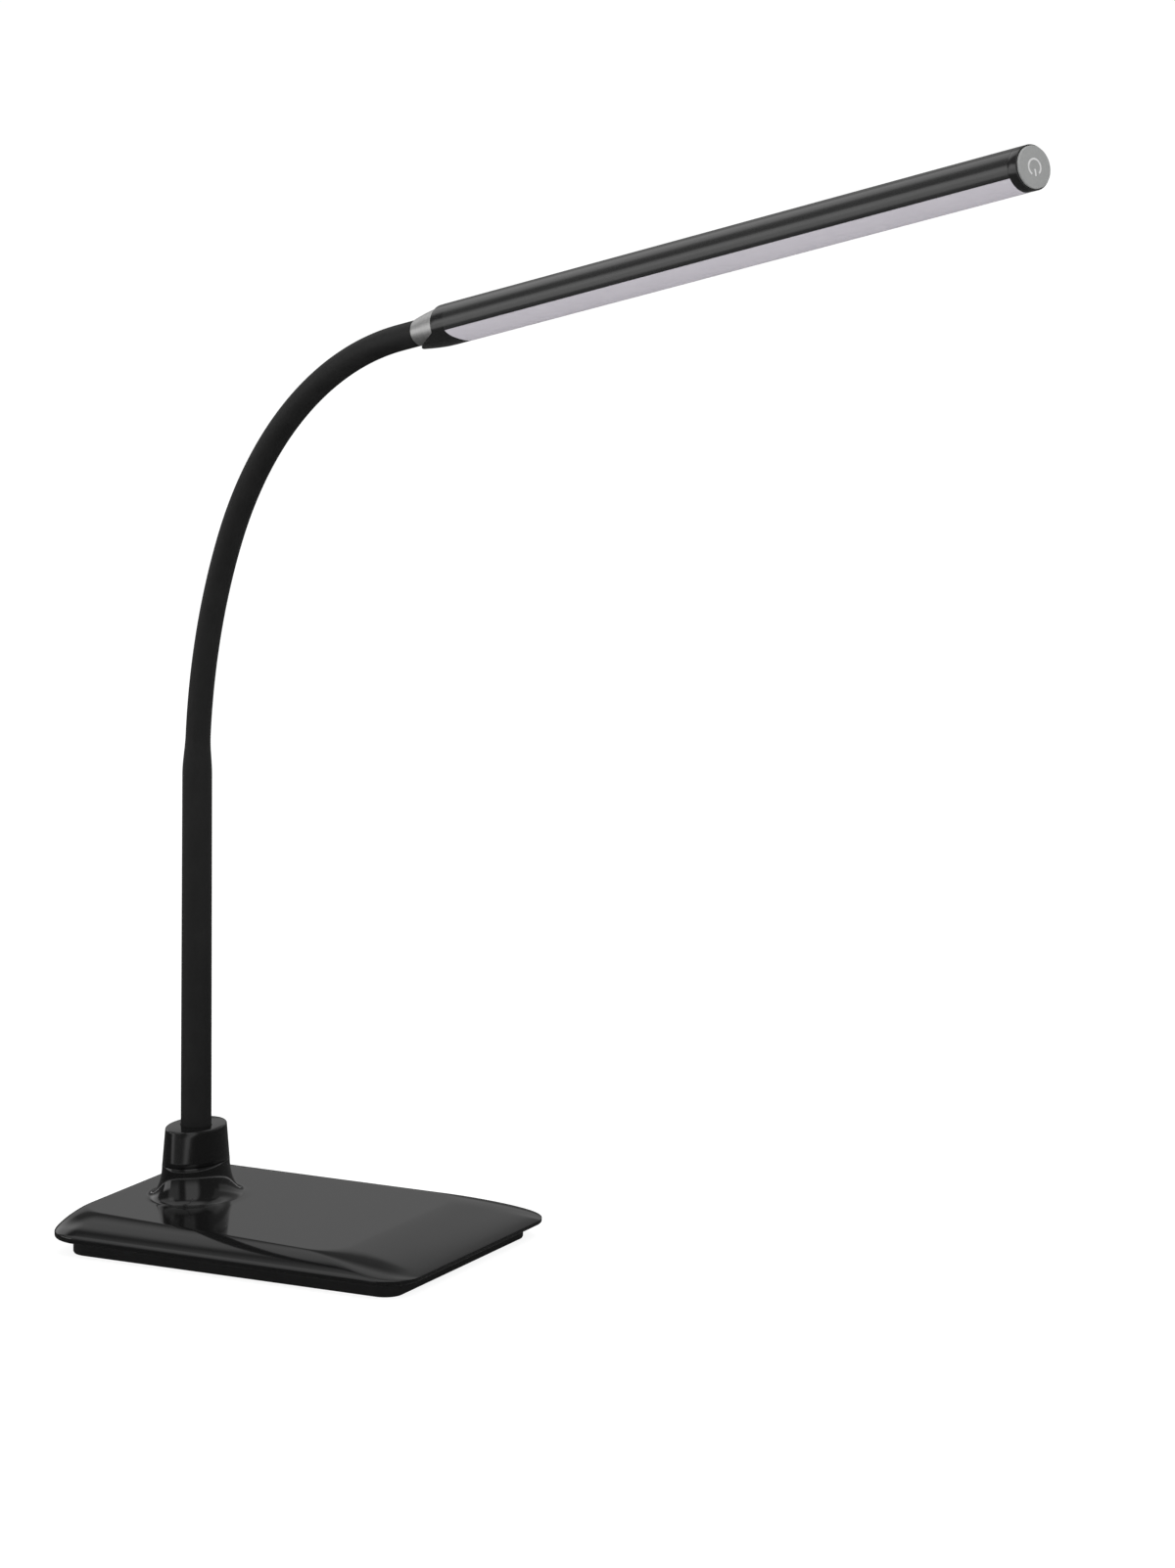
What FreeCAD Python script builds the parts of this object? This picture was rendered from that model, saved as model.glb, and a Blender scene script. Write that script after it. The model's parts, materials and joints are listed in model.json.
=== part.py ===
import FreeCAD, Part
import math
import os

# Gooseneck desk lamp. Millimetres, +Z up. The origin is on the table under the stem's axis,
# +X points to the front edge of the base. The bent neck lies in a vertical plane turned from +X.

V = FreeCAD.Vector
UP = V(0, 0, 1)
os.makedirs("parts", exist_ok=True)

# Fits
seat_gap = 0.1            # between pieces of one assembly that seat in each other
ball_gap = 0.15           # round each ball in its socket
inset_gap = 0.3           # plinth in shell

# Base shell
base_length = 190.0
base_width = 156.0
stem_to_rear = 39.0       # stem's axis to the rear edge
base_corner = 18.0
rim_bottom = 7.4
rim_nose = 8.6            # height where the rim reaches furthest out
rim_top = 10.2
rim_round = 1.3           # how far the underside of the rim draws in
shell_top = 17.85         # height of the flat top at the stem's axis
top_tilt = 0.85           # degrees the flat top falls towards the front
shell_wall = 2.4
crest_rear = 6.0          # rim to the flat top, at each edge
crest_front = 42.0
crest_side_rear = 23.0
crest_side_front = 14.0
crest_corner = 16.0
crest_power = 1.35        # superellipse power of the sloped edges
crest_steps = 9

# Plinth, mat and housing screws
plinth_inset = 8.8
plinth_wall = 2.0
plinth_floor = 1.8
plinth_lip = 1.0          # how far the plinth wall stands up inside the shell
mat_thickness = 0.5
mat_inset = 0.3
boss_inset = 9.2
boss_radius = 3.5
pad_radius = 5.0
pad_height = 3.8
screw_radius = 1.45
screw_head_radius = 2.8
screw_head_height = 1.7
screw_hole_radius = 1.7
screw_length = 5.0        # how far the housing screws reach into the bosses

# Ballast
ballast_thickness = 6.0
ballast_rear = 24.0
ballast_front_gap = 14.2  # to the plinth's wall
ballast_side_gap = 9.2
ballast_screw_inset = 8.0

# Stem
foot_height = 16.4        # flared foot of the shell, up to the seam
foot_flare_x = 20.0
foot_flare_y = 26.0
seam_x = 13.5
seam_y = 22.0
seam_gap = 0.2
collar_height = 17.0
collar_top_x = 12.5
collar_top_y = 19.8
collar_round = 0.8
tube_radius = 6.0
tube_wall = 1.2
tube_bottom = 6.0
stem_radius_low = 7.3
stem_radius_high = 7.0
stem_top = 219.0
seat_pad = 0.8            # level seat of the washer, below the leaning ceiling
nut_across_flats = 19.0
nut_height = 5.0
washer_radius = 11.0
washer_thickness = 1.5

# Neck: a root piece fixed to the stem, then links joined by balls in sockets
arm_turn = 23.0           # neck's plane, turned from +X towards -Y
neck_radius = 5.9
neck_bore = 4.8
root_length = 22.0
root_taper = 19.0
low_radius = 281.0        # bend of the lower part of the neck
low_link = 23.7
low_links = 4
high_radius = 187.3       # bend of the upper part
high_link = 24.0
high_links = 7
sleeve_half_gap = 0.7
core_radius = 4.3
core_bore = 1.5
ball_radius = 3.2
ball_neck_radius = 2.0
ball_neck_length = 2.8
socket_lip = 1.6
socket_depth = 4.6
core_overlap = 0.3        # how far the parts of a core run into each other
plug_length = 20.0

# Head, measured along its axis from the last pivot
head_radius = 9.4
head_length = 411.6
ferrule_start = 15.0
ferrule_end = 35.0
ferrule_rear_radius = 6.3
ferrule_front_radius = 8.5
ferrule_seat = 1.6
cap_chin_start = 15.5
cap_brow_start = 33.0
cap_chin_top = 2.8        # how far below the axis the chin begins
cap_chin_radius = 7.8
cap_full_at = 37.0
cap_end = 42.0
spigot_flange = 3.0
housing_wall = 1.3
diffuser_wall = 1.3
diffuser_edge = 19.4      # degrees below the horizontal where the diffuser starts, each side
snap_height = 2.4
web_height = 1.6
web_thickness = 1.4
screw_channel_x = 4.7
screw_channel_sink = 0.2  # how far the channels run into the web
screw_channel_radius = 1.9
head_screw_radius = 0.9
head_screw_length = 9.0
head_screw_head_radius = 1.6
head_screw_head_height = 0.9
tip_length = 5.0
tip_web = 1.6
touch_thickness = 1.0
touch_radius = 8.8
touch_spigot = 7.6
touch_spigot_length = 1.2
symbol_radius = 3.3
symbol_width = 0.8
symbol_depth = 0.3
symbol_opening = 35.0     # half angle of the gap in the power symbol's ring
touch_board_radius = 5.5
touch_board_thickness = 1.0
electrode_radius = 4.0
electrode_thickness = 0.4
board_seat_radius = 3.6
board_width = 11.0
board_thickness = 1.2
board_end_gap = 3.0
chip_count = 36
chip_length = 3.5
chip_width = 2.8
chip_height = 0.7

# Electrics in the base
jack_length = 11.0
jack_size = 7.2
jack_front_wall = 3.0
jack_radius = 2.9
jack_axis_height = 10.6
jack_pin_radius = 1.0
jack_pin_recess = 2.6
jack_rear_wall = 2.0
driver_length = 34.0
driver_width = 36.0
driver_rear = -14.0
driver_side = 16.0
driver_thickness = 1.6
driver_post = 2.0         # height of the posts under the board
driver_post_radius = 2.5
driver_pin_radius = 1.0
driver_pin_inset = 4.0
connector_height = 5.4
connector_depth = 5.0
inlet_connector_inset = 9.0
choke_radius = 4.8
choke_height = 5.0
capacitor_radius = 3.8
capacitor_height = 6.2
small_capacitor_radius = 3.0
chip_side = 4.5
chip_rise = 1.6
inlet_wire_turn = 5.0     # where the wires turn, before the board
stem_wire_turn = 2.6
wire_radius = 0.6
wire_pitch = 1.6
wire_bend = 1.2


# Basic shapes
def solid_of(shape):
    """Return the one solid of a boolean's result, with its seams merged."""
    return shape.removeSplitter().Solids[0]


def cylinder(x, y, z, radius, height):
    return Part.makeCylinder(radius, height, V(x, y, z))


def box(x0, x1, y0, y1, z0, z1):
    return Part.makeBox(x1 - x0, y1 - y0, z1 - z0, V(x0, y0, z0))


def rounded_outline(corners, radius, z):
    """A closed outline through corners given counter-clockwise, each rounded by a tangent arc."""
    edges = []
    points = []
    count = len(corners)
    for i in range(count):
        here = V(corners[i][0], corners[i][1], z)
        before = V(corners[i - 1][0], corners[i - 1][1], z)
        after = V(corners[(i + 1) % count][0], corners[(i + 1) % count][1], z)
        to_before = (before - here).normalize()
        to_after = (after - here).normalize()
        half = to_before.getAngle(to_after) / 2
        reach = radius / math.tan(half)
        middle = (to_before + to_after).normalize()
        centre = here + middle * (radius / math.sin(half))
        points.append((here + to_before * reach, centre - middle * radius, here + to_after * reach))
    for i in range(count):
        start, middle, end = points[i]
        edges.append(Part.Arc(start, middle, end).toShape())
        edges.append(Part.LineSegment(end, points[(i + 1) % count][0]).toShape())
    return Part.Wire(edges)


def base_outline(inset, radius, z):
    rear = -stem_to_rear + inset
    front = rear + base_length - 2 * inset
    side = base_width / 2 - inset
    corners = [(rear, -side), (front, -side), (front, side), (rear, side)]
    return rounded_outline(corners, radius, z)


def plate(outline, height):
    return Part.Face(outline).extrude(UP * height)


def oval(half_x, half_y, z):
    ellipse = Part.Ellipse(V(0, half_y, z), V(half_x, 0, z), V(0, 0, z))
    return Part.Wire([ellipse.toShape()])


def wire_along(points, radius, bend):
    """A round wire along straight runs joined by tangent arcs."""
    edges = []
    start = points[0]
    for i in range(1, len(points) - 1):
        corner = points[i]
        back = (points[i - 1] - corner).normalize()
        onward = (points[i + 1] - corner).normalize()
        half = back.getAngle(onward) / 2
        reach = bend / math.tan(half)
        middle = (back + onward).normalize()
        centre = corner + middle * (bend / math.sin(half))
        edges.append(Part.LineSegment(start, corner + back * reach).toShape())
        arc = Part.Arc(corner + back * reach, centre - middle * bend, corner + onward * reach)
        edges.append(arc.toShape())
        start = corner + onward * reach
    edges.append(Part.LineSegment(start, points[-1]).toShape())
    direction = points[1] - points[0]
    section = Part.Wire([Part.Circle(points[0], direction, radius).toShape()])
    return Part.Wire(edges).makePipeShell([section], True, True).Solids[0]


def save(node, *solids):
    shape = solids[0] if len(solids) == 1 else Part.makeCompound(list(solids))
    shape.exportStep("parts/" + node + ".step")


# Shell of the base
def lean(outline, height, share):
    """Tip an outline at a height so that its front lies lower, by a share of the top's tilt."""
    outline.rotate(V(0, 0, height), V(0, 1, 0), top_tilt * share)
    return outline


def shell_loft(wall):
    """The shell's outer form, or with a wall the form of the hollow inside it."""
    sections = []
    rise = shell_top - rim_bottom
    middle = (rim_bottom + rim_nose) / 2
    sections.append(base_outline(wall + rim_round, base_corner - rim_round, rim_bottom - wall))
    outline = base_outline(wall + rim_round / 4, base_corner, middle - wall)
    sections.append(lean(outline, middle - wall, (middle - rim_bottom) / rise))
    outline = base_outline(wall, base_corner, rim_nose - wall)
    sections.append(lean(outline, rim_nose - wall, (rim_nose - rim_bottom) / rise))
    for step in range(crest_steps + 1):
        angle = math.radians(90.0 * step / crest_steps)
        inward = 1 - math.cos(angle) ** (2 / crest_power)
        upward = math.sin(angle) ** (2 / crest_power)
        rear = -stem_to_rear + wall + crest_rear * inward
        front = base_length - stem_to_rear - wall - crest_front * inward
        side_rear = base_width / 2 - wall - crest_side_rear * inward
        side_front = base_width / 2 - wall - crest_side_front * inward
        radius = base_corner + (crest_corner - base_corner) * inward
        z = rim_top + (shell_top - rim_top) * upward
        corners = [(rear, -side_rear), (front, -side_front), (front, side_front), (rear, side_rear)]
        outline = rounded_outline(corners, radius, z - wall)
        sections.append(lean(outline, z - wall, (z - rim_bottom) / rise))
    return Part.makeLoft(sections, True, True)


def flared_foot():
    """The oval foot that carries the stem, flaring out into the flat top."""
    sections = []
    steps = 6
    for step in range(steps + 1):
        share = step / steps
        spread = (1 - share) ** 3
        half_x = seam_x + (foot_flare_x - seam_x) * spread
        half_y = seam_y + (foot_flare_y - seam_y) * spread
        z = shell_top + foot_height * share
        sections.append(lean(oval(half_x, half_y, z), z, 1 - share))
    base = box(-foot_flare_x / 2, foot_flare_x / 2, -foot_flare_y / 2, foot_flare_y / 2,
               shell_top - shell_wall / 2, shell_top + shell_wall)
    return Part.makeLoft(sections, True, False).fuse(base)


def boss_places():
    rear = -stem_to_rear + plinth_inset + boss_inset
    front = base_length - stem_to_rear - plinth_inset - boss_inset
    side = base_width / 2 - plinth_inset - boss_inset
    return [(rear, -side), (front, -side), (front, side), (rear, side)]


floor_top = mat_thickness + plinth_floor
pad_top = mat_thickness + pad_height
plinth_corner = base_corner - plinth_inset
ballast_front = base_length - stem_to_rear - plinth_inset - plinth_wall - ballast_front_gap
ballast_side = base_width / 2 - plinth_inset - plinth_wall - ballast_side_gap
jack_front = -stem_to_rear + jack_front_wall
washer_seat = shell_top - shell_wall - seat_pad


def base_shell():
    outer = shell_loft(0.0)
    opening = plate(base_outline(plinth_inset - inset_gap, plinth_corner + inset_gap, 0), shell_top)
    shell = outer.cut(shell_loft(shell_wall).common(opening)).fuse(flared_foot())
    shell = shell.fuse(cylinder(0, 0, washer_seat, washer_radius + seat_pad, shell_top - washer_seat))
    for x, y in boss_places():
        boss = cylinder(x, y, pad_top + seat_gap, boss_radius, shell_top - pad_top)
        shell = shell.fuse(boss.common(outer))
        shell = shell.cut(cylinder(x, y, pad_top, screw_radius + seat_gap / 2, screw_length))
    shell = shell.cut(cylinder(0, 0, 0, tube_radius + seat_gap, 2 * shell_top + foot_height))
    pocket = jack_size / 2 + seat_gap
    shell = shell.cut(box(jack_front - seat_gap, jack_front + jack_length, -pocket, pocket,
                          0, jack_axis_height + pocket))
    mouth = Part.makeCylinder(jack_radius + seat_gap, 2 * jack_length,
                              V(-stem_to_rear - jack_length, 0, jack_axis_height), V(1, 0, 0))
    save("base_shell", solid_of(shell.cut(mouth)))


def collar_cap():
    bottom = shell_top + foot_height + seam_gap
    top = bottom + collar_height
    sections = [oval(seam_x - seam_gap / 2, seam_y - seam_gap / 2, bottom),
                oval(collar_top_x, collar_top_y, top - collar_round),
                oval(collar_top_x - collar_round, collar_top_y - collar_round, top)]
    cap = Part.makeLoft(sections, True, True)
    save("collar_cap", solid_of(cap.cut(cylinder(0, 0, bottom, stem_radius_low + seat_gap, collar_height))))


# Plinth and what it carries
def driver_pins():
    x0 = driver_rear + driver_pin_inset
    x1 = driver_rear + driver_length - driver_pin_inset
    y0 = driver_side + driver_pin_inset
    y1 = driver_side + driver_width - driver_pin_inset
    return [(x0, y0), (x1, y0), (x1, y1), (x0, y1)]


def ballast_screw_places():
    x0 = ballast_rear + ballast_screw_inset
    x1 = ballast_front - ballast_screw_inset
    side = ballast_side - ballast_screw_inset
    return [(x0, -side), (x1, -side), (x1, side), (x0, side)]


def base_plinth():
    height = rim_bottom + plinth_lip - mat_thickness
    tray = plate(base_outline(plinth_inset, plinth_corner, mat_thickness), height)
    hollow = base_outline(plinth_inset + plinth_wall, plinth_corner - plinth_wall, floor_top)
    tray = tray.cut(plate(hollow, height))
    for x, y in boss_places():
        tray = tray.fuse(cylinder(x, y, mat_thickness, pad_radius, pad_height))
        tray = tray.cut(cylinder(x, y, 0, screw_hole_radius, pad_top + 1))
        tray = tray.cut(cylinder(x, y, 0, screw_head_radius + inset_gap, mat_thickness + screw_head_height))
    board_bottom = floor_top + driver_post
    for x, y in driver_pins():
        tray = tray.fuse(cylinder(x, y, mat_thickness, driver_post_radius, board_bottom - mat_thickness))
        pin_top = board_bottom + driver_thickness + driver_pin_radius
        tray = tray.fuse(cylinder(x, y, mat_thickness, driver_pin_radius, pin_top - mat_thickness))
    for x, y in ballast_screw_places():
        tray = tray.cut(cylinder(x, y, 0, screw_radius + seat_gap / 2, floor_top + 1))
    pocket = jack_size / 2 + seat_gap
    tray = tray.cut(box(-stem_to_rear, jack_front + jack_length, -pocket, pocket,
                        jack_axis_height - pocket, shell_top))
    save("base_plinth", solid_of(tray))


def base_mat():
    inset = plinth_inset + mat_inset
    save("base_mat", plate(base_outline(inset, plinth_corner - mat_inset, 0), mat_thickness))


def pan_screw(x, y, shoulder, length, points_up):
    """A screw whose head's underside is at the shoulder height."""
    if points_up:
        head = cylinder(x, y, shoulder - screw_head_height, screw_head_radius, screw_head_height)
        recess = cylinder(x, y, shoulder - screw_head_height, screw_radius, screw_head_height / 2)
        return head.fuse(cylinder(x, y, shoulder, screw_radius, length)).cut(recess)
    head = cylinder(x, y, shoulder, screw_head_radius, screw_head_height)
    recess = cylinder(x, y, shoulder + screw_head_height / 2, screw_radius, screw_head_height / 2)
    return head.fuse(cylinder(x, y, shoulder - length, screw_radius, length)).cut(recess)


def base_screws():
    shoulder = mat_thickness + screw_head_height
    length = pad_top - shoulder + screw_length - seat_gap
    save("base_screws", *[pan_screw(x, y, shoulder, length, True) for x, y in boss_places()])


def ballast():
    slab = box(ballast_rear, ballast_front, -ballast_side, ballast_side, floor_top,
               floor_top + ballast_thickness)
    for x, y in ballast_screw_places():
        slab = slab.cut(cylinder(x, y, 0, screw_hole_radius, shell_top))
    save("ballast_plate", slab)
    length = ballast_thickness + plinth_floor - seat_gap
    top = floor_top + ballast_thickness
    save("ballast_screws", *[pan_screw(x, y, top, length, False) for x, y in ballast_screw_places()])


# Inlet and driver
def inlet_jack():
    half = jack_size / 2
    body = box(jack_front, jack_front + jack_length, -half, half, jack_axis_height - half,
               jack_axis_height + half)
    depth = jack_length - jack_rear_wall
    mouth = V(jack_front, 0, jack_axis_height)
    save("inlet_jack", body.cut(Part.makeCylinder(jack_radius, depth, mouth, V(1, 0, 0))))
    pin_start = mouth + V(jack_pin_recess, 0, 0)
    pin_length = depth - jack_pin_recess
    save("inlet_pin", Part.makeCylinder(jack_pin_radius, pin_length, pin_start, V(1, 0, 0)))


board_top = floor_top + driver_post + driver_thickness
inlet_connector_y = driver_side + inlet_connector_inset


def driver():
    front = driver_rear + driver_length
    far = driver_side + driver_width
    board = box(driver_rear, front, driver_side, far, floor_top + driver_post, board_top)
    for x, y in driver_pins():
        board = board.cut(cylinder(x, y, 0, driver_pin_radius + seat_gap, shell_top))
    save("driver_board", board)
    x = driver_rear + driver_length / 2
    y = driver_side + driver_width / 2
    across = driver_length / 5
    along = driver_width / 4
    half = 1.5 * wire_pitch
    connector_top = board_top + connector_height
    parts = [
        cylinder(x + across, y + along / 2, board_top, choke_radius, choke_height),
        cylinder(x - across, y + along, board_top, capacitor_radius, capacitor_height),
        cylinder(x - across, y, board_top, small_capacitor_radius, capacitor_height),
        box(x, x + chip_side, y - along, y - along + chip_side, board_top, board_top + chip_rise),
        box(driver_rear, driver_rear + connector_depth, inlet_connector_y - half, inlet_connector_y + half,
            board_top, connector_top),
        box(-half, half, driver_side, driver_side + connector_depth, board_top, connector_top),
    ]
    save("driver_parts", *parts)


def base_wires():
    z = jack_axis_height
    inlet = []
    for side in (-1, 1):
        y0 = side * wire_pitch / 2
        y1 = inlet_connector_y + side * wire_pitch / 2
        x = driver_rear - inlet_wire_turn - side * wire_pitch / 2
        points = [V(jack_front + jack_length, y0, z), V(x, y0, z), V(x, y1, z), V(driver_rear, y1, z)]
        inlet.append(wire_along(points, wire_radius, wire_bend))
    save("inlet_wires", *inlet)
    high = board_top + connector_height / 2
    low = (floor_top + tube_bottom) / 2
    stem = []
    for side in (-1, 1):
        x = side * wire_pitch / 2
        y = driver_side - stem_wire_turn
        points = [V(x, driver_side, high), V(x, y, high), V(x, y, low), V(x, 0, low),
                  V(x, 0, stem_top - plug_length / 2)]
        stem.append(wire_along(points, wire_radius, wire_bend))
    save("stem_wires", *stem)


# Stem
def stem():
    outer = cylinder(0, 0, tube_bottom, tube_radius, stem_top - tube_bottom)
    save("stem_tube", outer.cut(cylinder(0, 0, tube_bottom, tube_radius - tube_wall, stem_top)))
    washer = cylinder(0, 0, washer_seat - washer_thickness, washer_radius, washer_thickness)
    save("stem_washer", washer.cut(cylinder(0, 0, 0, tube_radius + seat_gap, shell_top)))
    corner = nut_across_flats / math.sqrt(3)
    points = [V(corner * math.cos(math.radians(60 * i)), corner * math.sin(math.radians(60 * i)), 0)
              for i in range(7)]
    nut = Part.Face(Part.makePolygon(points)).extrude(UP * nut_height)
    nut.translate(UP * (washer_seat - washer_thickness - nut_height))
    save("stem_nut", nut.cut(cylinder(0, 0, 0, tube_radius + seat_gap / 2, shell_top)))
    foot = shell_top + foot_height + seam_gap
    sleeve = Part.makeCone(stem_radius_low, stem_radius_high, stem_top - foot, V(0, 0, foot))
    save("stem_sleeve", sleeve.cut(cylinder(0, 0, foot, tube_radius + seat_gap, stem_top)))


# Neck, laid out in the XZ plane bending towards +X, then turned about Z
low_end = root_length + low_links * low_link
neck_end = low_end + high_links * high_link


def neck_place(s):
    """Point on the neck's centre line and its direction, s along it from the stem's top."""
    low = min(s, low_end) / low_radius
    x = low_radius * (1 - math.cos(low))
    z = stem_top + low_radius * math.sin(low)
    if s <= low_end:
        return V(x, 0, z), low
    angle = low + (s - low_end) / high_radius
    x += high_radius * (math.cos(low) - math.cos(angle))
    z += high_radius * (math.sin(angle) - math.sin(low))
    return V(x, 0, z), angle


def neck_tangent(s):
    angle = neck_place(s)[1]
    return V(math.sin(angle), 0, math.cos(angle))


def bent_rod(radius, start, end):
    """A round rod along one arc of the neck."""
    bend = low_radius if end <= low_end + seat_gap else high_radius
    point, angle = neck_place(start)
    centre = point + V(math.cos(angle), 0, -math.sin(angle)) * bend
    section = Part.Face(Part.Wire([Part.Circle(point, neck_tangent(start), radius).toShape()]))
    return section.revolve(centre, V(0, 1, 0), math.degrees((end - start) / bend)).Solids[0]


def straight_rod(radius, s, start, end):
    """A round rod along the neck's direction at s, from start to end before or after it."""
    tangent = neck_tangent(s)
    return Part.makeCylinder(radius, end - start, neck_place(s)[0] + tangent * start, tangent)


def turn_arm(shape):
    shape.rotate(V(0, 0, 0), UP, -arm_turn)
    return shape


def neck_core(start, end, rooted):
    """Steel core of one link: a ball at its lower pivot and a socket round the next ball."""
    if rooted:
        shaft_start = start
        lower = straight_rod(tube_radius - tube_wall - seat_gap, start, -plug_length, 0)
        lower = lower.cut(straight_rod(core_bore, start, -plug_length, 0))
    else:
        shaft_start = start + ball_neck_length
        lower = straight_rod(ball_neck_radius, start, 0, ball_neck_length + core_overlap)
        lower = lower.fuse(Part.makeSphere(ball_radius, neck_place(start)[0], neck_tangent(start)))
        lower = lower.cut(straight_rod(core_bore, start, -ball_radius, 2 * ball_neck_length))
    shaft = bent_rod(core_radius, shaft_start, end - socket_depth)
    shaft = shaft.cut(bent_rod(core_bore, shaft_start, end - socket_depth))
    socket = straight_rod(core_radius + seat_gap, end, -socket_depth - core_overlap, socket_lip)
    socket = socket.cut(straight_rod(core_bore, end, -2 * socket_depth, socket_lip))
    socket = socket.cut(Part.makeSphere(ball_radius + ball_gap, neck_place(end)[0], neck_tangent(end)))
    return solid_of(lower.fuse(shaft).fuse(socket))


def neck_sleeve(start, end):
    sleeve = bent_rod(neck_radius, start + sleeve_half_gap, end - sleeve_half_gap)
    bore = bent_rod(neck_bore, start + sleeve_half_gap - seat_gap, end - sleeve_half_gap + seat_gap)
    return solid_of(sleeve.cut(bore))


def root_sleeve():
    """The step from the thick stem sleeve down to the thin neck."""
    sections = []
    steps = 8
    for step in range(steps + 1):
        s = seat_gap + (root_length - sleeve_half_gap - seat_gap) * step / steps
        share = min(s / root_taper, 1.0)
        narrowing = (1 - math.cos(math.pi * share)) / 2
        radius = stem_radius_high + (neck_radius - stem_radius_high) * narrowing
        circle = Part.Circle(neck_place(s)[0], neck_tangent(s), radius)
        sections.append(Part.Wire([circle.toShape()]))
    outer = Part.makeLoft(sections, True, True)
    return solid_of(outer.cut(bent_rod(neck_bore, 0, root_length)))


def pivots():
    places = [root_length + low_link * i for i in range(low_links)]
    places += [low_end + high_link * i for i in range(high_links + 1)]
    return places


def neck():
    save("neck_core_00", turn_arm(neck_core(0, root_length, True)))
    save("neck_sleeve_00", turn_arm(root_sleeve()))
    places = pivots()
    for i in range(len(places) - 1):
        number = "%02d" % (i + 1)
        save("neck_core_" + number, turn_arm(neck_core(places[i], places[i + 1], False)))
        save("neck_sleeve_" + number, turn_arm(neck_sleeve(places[i], places[i + 1])))


# Head, built along +X from the last pivot with its underside down, then tilted onto the neck
def place_head(shape):
    point, angle = neck_place(neck_end)
    shape.rotate(V(0, 0, 0), V(0, 1, 0), math.degrees(angle) - 90)
    shape.translate(point)
    return turn_arm(shape)


def head_rod(radius, start, end):
    return Part.makeCylinder(radius, end - start, V(start, 0, 0), V(1, 0, 0))


def spun(profile):
    """A solid of revolution about the head's axis from (along, radius) pairs."""
    points = [V(x, 0, r) for x, r in profile]
    face = Part.Face(Part.makePolygon(points + points[:1]))
    return face.revolve(V(0, 0, 0), V(1, 0, 0), 360).Solids[0]


def section_of(start, end, wall_outer, wall_inner, from_angle, to_angle):
    """Part of a round wall between two angles, 0 to the side and 90 up, along the head."""
    def at(radius, degrees):
        return V(start, radius * math.cos(math.radians(degrees)), radius * math.sin(math.radians(degrees)))
    middle = (from_angle + to_angle) / 2
    edges = [Part.Arc(at(wall_outer, from_angle), at(wall_outer, middle), at(wall_outer, to_angle)).toShape(),
             Part.LineSegment(at(wall_outer, to_angle), at(wall_inner, to_angle)).toShape(),
             Part.Arc(at(wall_inner, to_angle), at(wall_inner, middle), at(wall_inner, from_angle)).toShape(),
             Part.LineSegment(at(wall_inner, from_angle), at(wall_outer, from_angle)).toShape()]
    return Part.Face(Part.Wire(edges)).extrude(V(end - start, 0, 0))


def screw_holes(start, end, radius):
    """A rod on the axis of each of the two screw channels."""
    rods = []
    for side in (-1, 1):
        rod = head_rod(radius, start, end)
        rod.translate(V(0, side * screw_channel_x, screw_channel_z))
        rods.append(rod)
    return rods


tube_end = head_length - touch_thickness
profile_end = tube_end - tip_length
inner_radius = head_radius - housing_wall
screw_channel_z = web_height + web_thickness + screw_channel_radius - screw_channel_sink
rear_seat = ferrule_end + spigot_flange + 2 * seat_gap + head_screw_head_height


def ferrule_radius(along):
    share = (along - ferrule_start) / (ferrule_end - ferrule_start)
    return ferrule_rear_radius + (ferrule_front_radius - ferrule_rear_radius) * math.sin(math.pi / 2 * share)


def ferrule_profile(start, end, grow):
    steps = 8
    return [(start + (end - start) * i / steps,
             ferrule_radius(start + (end - start) * i / steps) + grow) for i in range(steps + 1)]


def spigot_and_ferrule():
    body = Part.makeSphere(ball_radius, V(0, 0, 0), V(1, 0, 0))
    body = body.fuse(head_rod(ball_neck_radius, 0, ball_neck_length + seat_gap))
    body = body.fuse(head_rod(core_radius, ball_neck_length, ferrule_end))
    flange_radius = ferrule_front_radius - 1.5 * seat_gap
    body = body.fuse(head_rod(flange_radius, ferrule_end, ferrule_end + spigot_flange))
    save("head_spigot", place_head(solid_of(body.cut(head_rod(core_bore, -ball_radius, head_length)))))
    sleeve_end = ferrule_start + ferrule_seat
    sleeve = head_rod(neck_radius, sleeve_half_gap, sleeve_end)
    save("neck_sleeve_12", place_head(sleeve.cut(head_rod(neck_bore, 0, sleeve_end))))
    ring = ferrule_profile(ferrule_start, ferrule_end, 0)
    ring = spun(ring + [(ferrule_end, core_radius + seat_gap), (ferrule_start, core_radius + seat_gap)])
    seat = head_rod(neck_radius + seat_gap, ferrule_start, sleeve_end + seat_gap)
    save("ferrule_ring", place_head(solid_of(ring.cut(seat))))


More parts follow.
